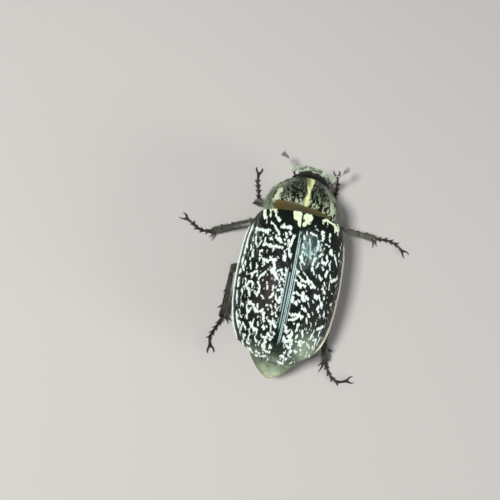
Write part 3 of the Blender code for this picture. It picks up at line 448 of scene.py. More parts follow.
class Form:
    """Vertices, triangles and colours of one piece, gathered from several closed forms."""

    def __init__(self):
        self.verts, self.faces, self.tints, self.maps, self.count = [], [], [], [], 0

    def add(self, verts, faces, tint, places=None):
        self.verts.append(verts)
        self.faces.append(faces + self.count)
        self.tints.append(np.broadcast_to(tint, verts.shape))
        self.maps.append(places)
        self.count += len(verts)
        return self

    def tube(self, rings, tint):
        """A wrapped net, or rings of points, with a fan over each end."""
        net = rings if isinstance(rings, Net) else Net(rings, wrap=True)
        rows, columns = net.points.shape[:2]
        ends = np.stack([net.points[0].mean(0), net.points[-1].mean(0)])
        around = np.arange(columns)
        first = np.stack([around, np.roll(around, -1), np.full(columns, rows * columns)], -1)[:, ::-1]
        last = np.stack([around, np.roll(around, -1), np.full(columns, rows * columns + 1)], -1)
        last[:, :2] += (rows - 1) * columns
        verts = np.concatenate([net.points.reshape(-1, 3), ends])
        tints = np.broadcast_to(tint, net.points.shape).reshape(-1, 3)
        tints = np.concatenate([tints, tints[:1], tints[-1:]])
        return self.add(verts, outward(verts, np.concatenate([net.faces(), first, last])), tints)

    def plate(self, net, thickness, tint, rounding=0.35):
        """A shell with a rounded rim and a dark inside, whose outer face is the net."""
        rows, columns = net.points.shape[:2]
        outer, normal = net.points.reshape(-1, 3), net.normals.reshape(-1, 3)
        size = len(outer)
        index = np.arange(size).reshape(rows, columns)
        border = np.concatenate([index[0, :-1], index[:-1, -1], index[-1, :0:-1], index[:0:-1, 0]])
        away = np.zeros_like(net.points)
        away[0] -= unit(net.points[1] - net.points[0])
        away[-1] += unit(net.points[-1] - net.points[-2])
        away[:, 0] -= unit(net.points[:, 1] - net.points[:, 0])
        away[:, -1] += unit(net.points[:, -1] - net.points[:, -2])
        away = unit(away.reshape(-1, 3)[border])
        loops, verts = [border], [outer, outer - normal * thickness]
        tints = [np.broadcast_to(tint, net.points.shape).reshape(-1, 3), np.broadcast_to(DARK, outer.shape)]
        for k, angle in enumerate((math.pi / 6, math.pi / 2, 5 * math.pi / 6)):
            sunk = (1 - math.cos(angle)) / 2 * thickness
            bulge = math.sin(angle) * rounding * thickness
            verts.append(outer[border] - normal[border] * sunk + away * bulge)
            tints.append(tints[0][border])
            loops.append(np.arange(len(border)) + 2 * size + k * len(border))
        loops.append(border + size)
        sheet = net.faces()
        faces = [sheet, sheet[:, ::-1] + size]
        for first, second in zip(loops, loops[1:]):
            a, b, c, d = first, np.roll(first, -1), np.roll(second, -1), second
            faces += [np.stack([a, c, b], -1), np.stack([a, d, c], -1)]
        verts, faces = np.concatenate(verts), np.concatenate(faces)
        corner, second, third = outer[sheet[0]]
        if np.cross(second - corner, third - corner) @ normal[sheet[0][0]] < 0:
            faces = faces[:, ::-1]
        return self.add(verts, faces, np.concatenate(tints))

    def build(self, name, material, slot, *nodes):
        """Makes the piece, in the row frame, and hides the imported nodes that it stands for."""
        mesh = bpy.data.meshes.new(name)
        verts = (np.concatenate(self.verts) - BOX_CENTRE) * MM
        mesh.from_pydata(verts.tolist(), [], np.concatenate(self.faces).tolist())
        tints = np.concatenate(self.tints)
        layer = mesh.color_attributes.new("tint", "FLOAT_COLOR", "POINT")
        colours = np.column_stack([tints, np.ones(len(tints))])
        layer.data.foreach_set("color", colours.astype(np.float32).ravel())
        if self.maps[0] is not None:
            corners = np.empty(len(mesh.loops), np.int32)
            mesh.loops.foreach_get("vertex_index", corners)
            layer = mesh.uv_layers.new(name="OFBake")
            layer.data.foreach_set("uv", np.concatenate(self.maps)[corners].astype(np.float32).ravel())
        mesh.materials.append(material)
        mesh.shade_smooth()
        obj = bpy.data.objects.new(name, mesh)
        bpy.context.scene.collection.objects.link(obj)
        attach(obj, "root")
        if nodes:
            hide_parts(*nodes)


PATCH = 0.003  # how wide each scale's and hair's patch of the OFBake map is
WHOLE_MAP = (0.0, 0.0, 1.0, 1.0)


def patches(spots, shape, area):
    """The places on the OFBake map of each root's vertices: area is the part of the map for this net."""
    left, low, right, high = area
    u = left + PATCH + spots.turn * (right - left - 2 * PATCH)
    v = low + PATCH + spots.share * (high - low - 2 * PATCH)
    return (np.stack([u, v], -1)[:, None, :] + np.array(shape) * PATCH / 2).reshape(-1, 2)


def sizes(value, count, rng):
    """A size for each root, as a column: a random one where value is a pair of limits."""
    if isinstance(value, tuple):
        value = rng.uniform(*value, count)
    return np.broadcast_to(np.asarray(value, float), (count,))[:, None]


class Coat(Form):
    """Scales or hairs gathered into one mesh, with an OFBake map. Their colours are tint, each a little
    lighter or darker by up to the share vary."""

    def gather(self, spots, rng, tint, vary, verts, shape, star, area, clear=slice(None)):
        """Adds each root's vertices, whose faces are shape and whose places on its patch are star."""
        lightness = 1 + vary * rng.uniform(-1, 1, (len(spots.place), 1))
        tint = np.broadcast_to(tint, spots.place.shape) * lightness
        verts = np.stack(verts, axis=1)[clear]
        count, corners = verts.shape[:2]
        faces = (np.arange(count)[:, None, None] * corners + np.array(shape)).reshape(-1, 3)
        tints = np.repeat(tint[clear], corners, axis=0)
        return self.add(verts.reshape(-1, 3), faces, tints, patches(chosen(spots, clear), star, area))

    def scales(self, spots, rng, length, width, tint, vary=0.1, lift=0.12):
        """Small arched leaves that lie along the net's rows."""
        place, normal, along = spots[:3]
        length, width = sizes(length, len(place), rng), sizes(width, len(place), rng)
        along = unit(along - normal * np.einsum("ij,ij->i", along, normal)[:, None])
        across = np.cross(normal, along)
        middle = place + along * length * 0.42
        sunk = normal * 0.02
        verts = [
            place - sunk,
            middle + across * width / 2 - sunk * 0.5 + normal * length * lift * 0.3,
            middle - across * width / 2 - sunk * 0.5 + normal * length * lift * 0.3,
            place + along * length + normal * length * lift,
            middle + normal * (length * lift * 0.5 + width * 0.22),
        ]
        shape = ((0, 4, 1), (1, 4, 3), (3, 4, 2), (2, 4, 0), (0, 1, 3), (0, 3, 2))
        star = ((0, -1), (-1, 0), (1, 0), (0, 1), (0, 0))
        return self.gather(spots, rng, tint, vary, verts, shape, star, WHOLE_MAP)

    def hairs(self, spots, rng, length, thickness, tint, vary, rise, area=WHOLE_MAP):
        """Thin three-sided hairs that rise from the skin and bend over along its rows, clear of the floor."""
        place, normal, along = spots[:3]
        length, thickness = sizes(length, len(place), rng), sizes(thickness, len(place), rng)
        along = unit(along - normal * np.einsum("ij,ij->i", along, normal)[:, None])
        start = unit(normal * rise + along * (1 - rise))
        end = unit(start + along * 0.6 * (1 - rise))
        across = unit(np.cross(normal, start) + 1e-9)
        high = np.cross(start, across)
        star = [(math.cos(2 * math.pi * k / 3), math.sin(2 * math.pi * k / 3)) for k in range(3)]
        ring = [x * across + y * high for x, y in star]
        root = place - normal * 0.03
        middle = root + start * length * 0.5
        tip = middle + end * length * 0.5
        verts = [root + side * thickness / 2 for side in ring]
        verts += [middle + side * thickness * 0.36 for side in ring] + [tip]
        clear = (tip[:, 2] > 0.03) & (middle[:, 2] > 0.03)
        shape = [(0, 2, 1)]
        for k in range(3):
            n = (k + 1) % 3
            shape += [(k, n, n + 3), (k, n + 3, k + 3), (k + 3, n + 3, 6)]
        star += [(0.5 * x, 0.5 * y) for x, y in star] + [(0, 0)]
        return self.gather(spots, rng, tint, vary, verts, shape, star, area, clear)


def swept(path, radii, up, flatness=1.0, sides=24, shape=None):
    """A net round a path, widest in the direction of up and thinner by flatness across it. shape gives a
    factor on the radius for each share of the path and angle round it."""
    path, radii = np.asarray(path, float), np.asarray(radii, float)
    along = unit(np.gradient(path, axis=0))
    across = unit(np.cross(along, np.asarray(up, float)))
    high = np.cross(across, along)
    angle = 2 * math.pi * (np.arange(sides) + 0.5) / sides
    reach = np.repeat(radii[:, None], sides, axis=1)
    if shape is not None:
        reach = reach * shape(np.linspace(0, 1, len(path))[:, None], angle[None, :])
    cosine, sine = np.cos(angle)[None, :, None], np.sin(angle)[None, :, None]
    offset = cosine * high[:, None] + flatness * sine * across[:, None]
    return Net(path[:, None] + reach[..., None] * offset, wrap=True, sign=-1)


def beaded(path, profile, rows, sides):
    """A net round a path whose radii follow a profile of (share, radius)."""
    shares = np.linspace(profile[0][0], profile[-1][0], rows)
    reach = (shares - shares[0]) / (shares[-1] - shares[0])
    return swept(along_path(path, reach), curve(profile, shares)[..., 0], (0, 0, 1.0), 1.0, sides)


def lobe(centre, radii, rows=20, sides=28):
    """Rings of an egg-shaped lump, from its front pole to its rear one."""
    turn = np.linspace(0.06, math.pi - 0.06, rows)[:, None]
    angle = circle(sides)[None, :]
    x, z = np.sin(turn) * np.cos(angle), np.sin(turn) * np.sin(angle)
    ball = np.stack([x, np.cos(turn) + 0 * angle, z], -1)
    return np.asarray(centre) + ball * np.asarray(radii)


# ---------------------------------------------------------------- materials


def add_node(tree, kind, **values):
    made = tree.nodes.new(kind)
    for name, value in values.items():
        if hasattr(made, name):
            setattr(made, name, value)
        else:
            made.inputs[name.replace("_", " ")].default_value = value
    return made


def make_material(name, roughness, bumps=(), mottle=(0.12, 1500.0), specular=0.5):
    """A finish whose colour is the piece's tint, unevenly darkened, with bump from noise and small cells.
    bumps holds (kind, cells in a metre, strength, depth in metres) for each layer."""
    material = bpy.data.materials.new(name)
    material.use_nodes = True
    tree = material.node_tree
    join = tree.links.new
    shader = tree.nodes["Principled BSDF"]
    shader.inputs["Specular IOR Level"].default_value = specular
    place = add_node(tree, "ShaderNodeTexCoord").outputs["Object"]
    tint = add_node(tree, "ShaderNodeAttribute", attribute_name="tint")
    strength, cells = mottle
    blotch = add_node(tree, "ShaderNodeTexNoise", Scale=cells, Detail=4.0)
    join(place, blotch.inputs["Vector"])
    level = add_node(tree, "ShaderNodeMapRange", To_Min=1 - strength * 2, To_Max=1 + strength * 2)
    join(blotch.outputs["Fac"], level.inputs["Value"])
    product = add_node(tree, "ShaderNodeVectorMath", operation="MULTIPLY")
    join(tint.outputs["Color"], product.inputs[0])
    join(level.outputs["Result"], product.inputs[1])
    join(product.outputs["Vector"], shader.inputs["Base Color"])
    rough = add_node(tree, "ShaderNodeMapRange", To_Min=max(roughness - 0.12, 0.02), To_Max=roughness + 0.12)
    join(blotch.outputs["Fac"], rough.inputs["Value"])
    join(rough.outputs["Result"], shader.inputs["Roughness"])
    normal = None
    for kind, cells, strength, depth in bumps:
        if kind == "noise":
            layer = add_node(tree, "ShaderNodeTexNoise", Scale=cells, Detail=3.0)
            height = layer.outputs["Fac"]
        else:
            layer = add_node(tree, "ShaderNodeTexVoronoi", Scale=cells, feature="SMOOTH_F1")
            height = layer.outputs["Distance"]
        join(place, layer.inputs["Vector"])
        bump = add_node(tree, "ShaderNodeBump", Strength=strength, Distance=depth)
        join(height, bump.inputs["Height"])
        if normal is not None:
            join(normal, bump.inputs["Normal"])
        normal = bump.outputs["Normal"]
    if normal is not None:
        join(normal, shader.inputs["Normal"])
    return material


# ---------------------------------------------------------------- wing cases

WHITE = rgb(230, 242, 234)
CREAM = rgb(228, 238, 204)
BLACK_GREEN = rgb(14, 20, 16)
RED_BROWN = rgb(34, 26, 27)
SHEEN_BLUE_GREEN = rgb(66, 92, 90)
GREY_GREEN = rgb(140, 156, 134)
DARK = rgb(26, 22, 18)

ELYTRON_ROWS, ELYTRON_COLUMNS = 220, 120
RIB_TURNS = (0.36, 0.66, 0.98)
RIM_HEIGHTS = {-1: 0.17, 1: 0.25}
# Places with fewer specks: x, y, size and how much less likely
SPARSE = ((4, -14.5, 2.6, 0.08), (5.8, -3.4, 1.6, 0.1), (-3.3, -15, 1.4, 0.05), (-7.3, -1.5, 1.4, 0.3))
# Fine pale lines beside the seam: x where the back is widest, half width, strength, front and rear y
SEAM_LINES = (
    (-0.1, 0.08, 0.95, -3.0, -20.0), (0.1, 0.08, 0.95, -3.0, -19.6), (-0.5, 0.065, 0.8, -8.4, -17.8),
    (-0.9, 0.065, 0.7, -9.0, -17.0), (0.46, 0.06, 0.75, -9.0, -16.8),
)
# Grey-green bloom near the tail: centre, radii and strength
TAIL_BLOOM = (
    ((4.6, -21.0), (2.2, 2.2), 1.0), ((0, -23.2), (2.2, 0.8), 0.6), ((-3.5, -22.6), (2.5, 1.2), 0.4),
)


def back_point(x, y):
    """The wing cases' outer surface at this x and y."""
    half_width, top, side = split(curve(BACK, y))
    reach = np.minimum(np.abs(x) / half_width, 1)
    height = side + (top - side) * (1 - reach**BACK_POWER) ** (1 / BACK_POWER)
    bump_x, bump_y, width, bump_height = SHOULDER_BUMP
    height = height + bump_height * blot(np.abs(x), y, (bump_x, bump_y), width=width)
    return np.stack([x, y, height], axis=-1)


def scutellum_half_width(y, margin=0.0):
    reach = np.clip(-y / (SCUTELLUM_LENGTH + margin), 0, 1)
    return (SCUTELLUM_HALF_WIDTH + margin) * np.sqrt(1 - reach**SCUTELLUM_POWER)


def elytron_net(side):
    """One wing case's outer face with its ribs, beads and wrinkles, and how far each of its points is from
    the seam and from the outline."""
    share = np.linspace(0, 1, ELYTRON_ROWS)[:, None] + np.zeros((1, ELYTRON_COLUMNS))
    turn = QUARTER_TURN * np.linspace(0, 1, ELYTRON_COLUMNS)[None, :] ** 1.3 + np.zeros((ELYTRON_ROWS, 1))
    corner = np.maximum(0, (turn - SHOULDER_ANGLE) / (QUARTER_TURN - SHOULDER_ANGLE))
    front = ELYTRA_FRONT - SHOULDER_ROUNDING * corner**2
    rear = -ELYTRA_LENGTH + TAIL_ROUNDING * np.sin(turn) ** TAIL_POWER
    y = front + (rear - front) * share
    half_width = curve(BACK, y)[..., 0]
    inner = np.maximum(SEAM_HALF_WIDTH, scutellum_half_width(y, SCUTELLUM_MARGIN))
    start = np.arcsin((inner / half_width) ** (BACK_POWER / 2))
    reach = np.sin(start + (QUARTER_TURN - start) * turn / QUARTER_TURN)
    x = half_width * reach ** (2 / BACK_POWER)
    seam, edge = x - inner, (QUARTER_TURN - turn) * half_width / QUARTER_TURN
    net = Net(back_point(side * x, y), sign=side)

    ends = smooth(0.02, 0.2, share) * (1 - smooth(0.8, 0.97, share))
    relief = sum(0.07 * bell(turn - at, 0.05) for at in RIB_TURNS) * ends
    relief = relief + 0.08 * bell(seam - 0.16, 0.13) - 0.07 * bell(seam - 0.42, 0.1)
    # A raised rim with a groove inside it, and on the left a second line further in
    rim = RIM_HEIGHTS[side] * smooth(0.0, 0.12, share) * smooth(1.0, 0.9, share)
    relief = relief + (0.05 + rim) * bell(edge - 0.3, 0.18) - 0.06 * bell(edge - 0.75, 0.16)
    if side < 0:
        second = 0.12 * bell(edge - 1.85, 0.2) * smooth(0.05, 0.15, share) * smooth(0.95, 0.85, share)
        relief = relief + second
    callus = 0.22 * blot(x, y, (3.9, -20.6), width=1.3)
    wrinkles = 0.07 * ripple(net.points, 0.8, 3) + 0.045 * ripple(net.points, 0.36, 4)
    return net.raised(relief + callus + wrinkles), seam, edge


def distance_to(x, y, first, second):
    """Distance of each place from the line between two points."""
    (ax, ay), (bx, by) = first, second
    length = max((bx - ax) ** 2 + (by - ay) ** 2, 1e-9)
    t = np.clip(((x - ax) * (bx - ax) + (y - ay) * (by - ay)) / length, 0, 1)
    return np.hypot(x - ax - t * (bx - ax), y - ay - t * (by - ay))


def unrolled(place):
    """x measured along the back's surface, so that marks and noise don't stretch on its steep sides."""
    x, y, z = split(place)
    return x + np.sign(x) * 0.75 * np.maximum(curve(BACK, y)[..., 1] - z, 0)


def bluish_sheen(x, y):
    """The painted bluish grey sheen beside the seam on the right wing case, from 0 to 1: a highlight painted
    into the colours there.
    """
    return blot(x, y, (1.8, -5.9), (1.5, 2.1)) * (x > 0)


def white_cover(place, seam, edge):
    """How thickly white scales cover each place of the wing cases, from 0 to 1."""
    x, y, _ = split(place)
    reach, right = unrolled(place), x > 0
    flat = flat_places(reach, y)
    # The marks: strokes with a ragged outline
    shift_x = 0.2 * ripple(flat, 0.4, 11) + 0.26 * ripple(flat, 0.18, 12)
    shift_y = 0.2 * ripple(flat, 0.4, 13) + 0.26 * ripple(flat, 0.18, 14)
    swell = 0.2 + 0.5 * noise(flat, 0.5, 15) + 0.5 * noise(flat, 0.25, 16)
    inside = np.full(x.shape, -9.0)
    for half_width, *line in MARKS:
        line = np.array(line).reshape(-1, 2) / 100
        line[:, 0] = unrolled(back_point(line[:, 0], line[:, 1]))
        for first, second in zip(line, line[1:]):
            away = distance_to(reach + shift_x, y + shift_y, first, second)
            inside = np.maximum(inside, half_width / 100 * swell - 0.015 - away)
    marks = smooth(-0.03, 0.02, inside)
    # Specks between them, where noise passes a limit
    slant = flat_places(reach * 1.4 + 0.25 * y * np.sign(x), y * 0.95)
    chance = noise(slant, 0.4, 21) * 0.6 + noise(slant, 0.2, 22) * 0.4
    limit = 0.79 - 0.04 * smooth(-14, -20, y) + 0.2 * smooth(0.9, 0.6, seam)
    limit = limit - 0.07 * bell(seam - 1.4, 0.5) * ~right * smooth(-4, -6, y)
    for centre_x, centre_y, size, less in SPARSE:
        limit = limit + less * blot(x, y, (centre_x, centre_y), width=size)
    # More pale specks where the bluish sheen is painted beside the seam
    limit = limit + 0.1 * smooth(-3.6, -2.0, y) - 0.14 * bluish_sheen(x, y)
    specks = smooth(limit, limit + 0.04, chance) * smooth(-0.04, -0.14, inside)
    specks = specks * (1 - smooth(2.2, 1.7, edge) * ~right)
    # A thin veil of pale scale cover where the bluish sheen is painted
    sheen_veil = bluish_sheen(x, y) * smooth(0.5, 0.62, noise(flat_places(x * 2.2, y * 0.8), 0.5, 24))
    # Two fine lines run along the left outline, and one broader line along the right one
    uneven = ripple(flat, 0.5, 26)
    rim = bell(edge - 0.34, 0.2 + 0.12 * right + 0.1 * uneven) * smooth(-1.8, -3.2, y)
    rim = rim * (0.85 + 0.15 * right) * (1 - smooth(-19.6, -20.8, y + 0.8 * uneven + 0.8 * ~right))
    broken = smooth(0.2, 0.32, noise(flat_places(x * 2, y), 0.7, 23)) * ~right
    inner = 0.9 * broken * bell(edge - 1.88 - 0.3 * uneven, 0.22)
    inner = inner * smooth(-1.8, -3, y) * (1 - smooth(-19, -21, y))
    return np.clip(np.maximum.reduce([marks, specks, rim, inner, 0.45 * sheen_veil]), 0, 1)


def seam_cover(place, seam):
    """How thickly the fine pale lines beside the seam cover each place, from 0 to 1."""
    x, y, _ = split(place)
    at = x * 8.3 / curve(BACK, y)[..., 0]
    cover = 0.0 * x
    for k, (middle, reach, strength, front, rear) in enumerate(SEAM_LINES):
        gaps = smooth(0.12, 0.3, noise(flat_places(x * 2, y + 7 * k), 0.6, 31 + k))
        length = smooth(front, front - 0.8, y) * (1 - smooth(rear, rear - 1.2, y))
        cover = np.maximum(cover, strength * bell(at - middle, reach) * length * gaps)
    return cover * smooth(0.0, 0.02, seam)


def elytron_ground(place):
    """The colour of the bare wing case, with a painted bluish sheen beside the seam on the right."""
    x, y, _ = split(place)
    tint = mix(BLACK_GREEN, RED_BROWN, blot(x, y, (-3.3, -13.2), (1.9, 3.6)))
    # Painted sheen: the ground turns blue-green where the bluish highlight beside the seam lies
    tint = mix(tint, SHEEN_BLUE_GREEN, 0.85 * bluish_sheen(x, y))
    bloom = [strength * blot(x, y, centre, radii) for centre, radii, strength in TAIL_BLOOM]
    tint = mix(tint, GREY_GREEN, 0.9 * np.maximum.reduce(bloom))
    streaks = smooth(0.55, 0.7, noise(flat_places(x * 3.2 + 0.5 * y, y * 0.5), 0.6, 42))
    flank = bell(x + 6.9 + 0.12 * (y + 4), 0.8) * smooth(-9.5, -6.5, y)
    tint = mix(tint, rgb(96, 108, 92), 0.7 * streaks * flank)
    return tint * (0.8 + 0.4 * noise(place, 0.5, 41))[..., None]


def white_tint(place, edge):
    """The colour of the white scales: creamier at the front, bluish beside the seam where a sheen is painted,
    and lighter and warmer along the outline on the right, a painted highlight on that side."""
    x, y, _ = split(place)
    tint = mix(WHITE, CREAM, smooth(-3.0, 0.0, y))
    # Painted highlight: the white along the right outline is lighter and warmer, for a side that the key lamp
    # leaves in shade
    tint = mix(tint, rgb(252, 246, 226), smooth(1.0, 0.7, edge) * (x > 0))
    # Painted sheen: the scales turn bluish where the highlight beside the seam lies
    return mix(tint, rgb(164, 198, 190), 0.9 * bluish_sheen(x, y))


def make_elytra(shell, scale, hair):
    for name, side in SIDES:
        net, seam, edge = elytron_net(side)
        white = white_tint(net.points, edge) * 0.8
        tint = mix(elytron_ground(net.points), white, white_cover(net.points, seam, edge))
        tint = mix(tint, rgb(186, 216, 212), seam_cover(net.points, seam))
        form = Form().plate(net, ELYTRON_THICKNESS, tint)
        form.build(f"wing_case_{name}", shell, "elytron", f"elytron_{name}")

        rng = np.random.default_rng(101 + side)
        spots = net.spots(62000, rng)
        row = np.rint(spots.share * (ELYTRON_ROWS - 1)).astype(int)
        column = np.rint(spots.turn * (ELYTRON_COLUMNS - 1)).astype(int)
        seam, edge = seam[row, column], edge[row, column]
        cover = white_cover(spots.place, seam, edge)
        white = (cover > 0.45) & (rng.random(len(cover)) < 0.2 + cover)
        line = (cover < 0.45) & (seam_cover(spots.place, seam) > 0.4)
        coat = Coat()
        tint = white_tint(spots.place, edge)[white]
        coat.scales(chosen(spots, white), rng, SCALE_LENGTH, SCALE_WIDTH, tint)
        coat.scales(chosen(spots, line), rng, 0.14, 0.04, rgb(196, 224, 220), 0.05)
        coat.build(f"white_scales_{name}", scale, "elytron", f"elytron_{name}")

        def near_tail(spots):
            x, y, _ = split(spots.place)
            return 0.25 + 0.75 * smooth(-18.5, -22, y + 0.35 * np.abs(x - 1))

        spots = net.spots(9000, rng, near_tail)
        tint = mix(rgb(62, 60, 48), rgb(140, 150, 126), smooth(-18.5, -22, spots.place[:, 1]))
        coat = Coat().hairs(spots, rng, (0.18, 0.3), 0.03, tint, 0.25, 0.25)
        coat.build(f"fine_hairs_{name}", hair, "elytron", f"elytron_{name}")


# ---------------------------------------------------------------- scutellum and tail plate


def scutellum_cover(place):
    """The scutellum's two pale patches, each with a tail to the rear, from 0 to 1."""
    x, y, _ = split(place)
    flat = flat_places(x, y)
    ragged = 0.35 * ripple(flat, 0.4, 51)
    reach = scutellum_half_width(y) - 0.12
    patch = smooth(0.0, 0.08, reach - np.abs(x) + ragged * 0.4)
    patch = patch * smooth(0.1, 0.2, np.abs(x + 0.1) + ragged * 0.3)
    left = 0.86 - np.hypot((x + 0.92) / 0.98, (y + 0.62) / 0.95)
    right = 0.86 - np.hypot((x - 0.82) / 0.98, (y + 0.9) / 1.08)
    left_tail = 0.3 - distance_to(x, y, (-0.6, -1.2), (-0.3, -2.2))
    right_tail = 0.3 - distance_to(x, y, (0.6, -1.5), (0.3, -2.1))
    inside = np.maximum.reduce([left, right, left_tail, right_tail])
    holes = smooth(0.78, 0.84, noise(flat, 0.3, 52))
    return patch * smooth(-0.04, 0.06, inside + ragged * 0.6) * (1 - holes)


def make_scutellum(shell, scale):
    turn = np.linspace(0, SCUTELLUM_TIP_ANGLE, 44)[:, None]
    y = ELYTRA_FRONT + 0.02 - SCUTELLUM_LENGTH * np.sin(turn)
    x = scutellum_half_width(y) * np.linspace(-1, 1, 45)[None, :]
    across = np.abs(x) / np.maximum(scutellum_half_width(y), 0.05)
    relief = 0.12 * (1 - across**2) - 0.1 * bell(x + 0.08, 0.12) + 0.05 * bell(across - 0.95, 0.08)
    net = Net(back_point(x, y + 0 * x)).raised(relief)
    tint = mix(rgb(28, 32, 28), CREAM * 0.75, scutellum_cover(net.points))
    Form().plate(net, 0.5, tint).build("shield", shell, "scaly", "scutellum")
    rng = np.random.default_rng(61)
    spots = net.spots(2600, rng, lambda spots: scutellum_cover(spots.place))
    coat = Coat().scales(spots, rng, (0.16, 0.26), SCALE_WIDTH, rgb(220, 232, 200))
    coat.build("shield_scales", scale, "scaly", "scutellum")


def pygidium_painted_shading(place, share, turn):
    """Painted light and shade, from 0 to 1: dark along the tail plate's edges and at its top under the wing
    cases, where shade falls, light in the middle and towards its tip, and darker in random patches.
    """
    middle = 1 - 0.75 * np.abs(2 * turn - 1) ** 2.5
    level = middle * (0.25 + 0.8 * noise(place, 0.6, 72)) - 0.25 * noise(place, 0.25, 74)
    return np.clip(level + 0.7 * smooth(0.35, 0.95, share) - 0.2, 0, 1)


def make_pygidium(shell, scale, hair):
    top = np.array((0, *PYGIDIUM_TOP))
    down = np.array((0, *PYGIDIUM_TIP)) - top
    share, across = np.linspace(-0.12, 1, 60)[:, None], np.linspace(-1, 1, 61)[None, :]
    half_width = curve(PYGIDIUM_HALF_WIDTHS, np.maximum(share, 0))[..., 0] + np.maximum(-share, 0) * 1.5
    bulge = PYGIDIUM_BULGE * np.sin(math.pi * np.clip(share + 0.1, 0, 1))
    lift = bulge * (1 - across**2) - PYGIDIUM_EDGE_FALL * across**2 + 0.06 * bell(1 - np.abs(across), 0.08)
    points = top + down * share[..., None] + unit(np.cross(down, (1.0, 0, 0))) * lift[..., None]
    points = points + np.array((1.0, 0, 0)) * (half_width * across)[..., None]
    net = Net(points).raised(0.05 * ripple(points, 0.5, 71))

    # The skin and the scales share this painted light and shade: darker at the edges and the top, lighter at
    # the tip
    pale, shade = rgb(210, 224, 192), rgb(116, 134, 108)
    light = pygidium_painted_shading(net.points, np.linspace(0, 1, 60)[:, None], np.linspace(0, 1, 61)[None, :])
    form = Form().plate(net, PYGIDIUM_THICKNESS, mix(shade, pale, light) * 0.8)
    form.build("tail_plate", shell, "scaly", "pygidium")
    rng = np.random.default_rng(73)
    spots = net.spots(7000, rng)
    tint = mix(shade, pale, pygidium_painted_shading(spots.place, spots.share, spots.turn))
    coat = Coat().scales(spots, rng, (0.16, 0.26), 0.06, tint, 0.14, 0.2)
    coat.build("tail_plate_scales", scale, "scaly", "pygidium")

    def near_rim(spots):
        return smooth(0.7, 1, spots.share) + smooth(0.4, 0.5, np.abs(spots.turn - 0.5))

    coat = Coat().hairs(net.spots(900, rng, near_rim), rng, (0.3, 0.6), 0.03, rgb(150, 146, 110), 0.2, 0.35)
    coat.build("tail_plate_hairs", hair, "scaly", "pygidium")


# ---------------------------------------------------------------- front body ring

# The pronotum's cream stripe: y and half width
STRIPE = ((0.9, 0.02), (1.4, 0.2), (2.4, 0.34), (3.3, 0.24), (4.0, 0.32), (5.0, 0.5), (6.3, 0.64), (7.4, 0.5))
NECK_SIDES = 72
# The hollow behind the neck's skin: each ring's size and depth
NECK_HOLLOW = ((0.93, 1.6), (0.9, 1.1), (0.88, 0.6), (0.6, 0.5), (0.3, 0.5))


def arch(angle, half_width, top, side, bottom, power_up, power_down):
    """x and z of a body ring at each angle: one arch above the side line and another below it."""
    sine, cosine = np.sin(angle), np.cos(angle)
    power = np.where(sine >= 0, power_up, power_down)
    height = np.where(sine >= 0, top - side, side - bottom)
    x = half_width * np.sign(cosine) * np.abs(cosine) ** (2 / power)
    return x, side + height * np.sign(sine) * np.abs(sine) ** (2 / power)


def ring_at(y, angle, under):
    """A point of the front body ring: the shield on top, or the underside."""
    half_width, top, side, bottom = split(curve(PRONOTUM, y))
    if not under:
        return arch(angle, half_width, top, side, side - 0.5, PRONOTUM_POWER, 2.0)
    return arch(angle, half_width - 0.55, side + 0.1, side - 0.4, bottom, 3.0, 2.0)


def front_points(angle, rows, under, rear):
    """Rows of points from the collar's slanting front edge back to the ring's rear edge."""
    low, high = np.full(angle.shape, 3.0), np.full(angle.shape, 7.6)
    lean = (COLLAR_TOP[0] - COLLAR_BOTTOM[0]) / (COLLAR_TOP[1] - COLLAR_BOTTOM[1])
    for _ in range(40):
        middle = (low + high) / 2
        z = ring_at(middle, angle, under)[1]
        inside = middle < COLLAR_BOTTOM[0] + lean * (z - COLLAR_BOTTOM[1])
        low, high = np.where(inside, middle, low), np.where(inside, high, middle)
    share = np.linspace(0, 1, rows)[:, None]
    y = low[None, :] * (1 - share) + rear * share
    x, z = ring_at(y, angle[None, :] + 0 * share, under)
    return np.stack([x, y, z], axis=-1)


def band_edge(x):
    """The y where the pronotum's scales end and the felted brown band behind them begins."""
    return 1.12 + 0.13 * np.clip(-x, -3, 4.5) - 0.05 * np.cos(x * 1.4)


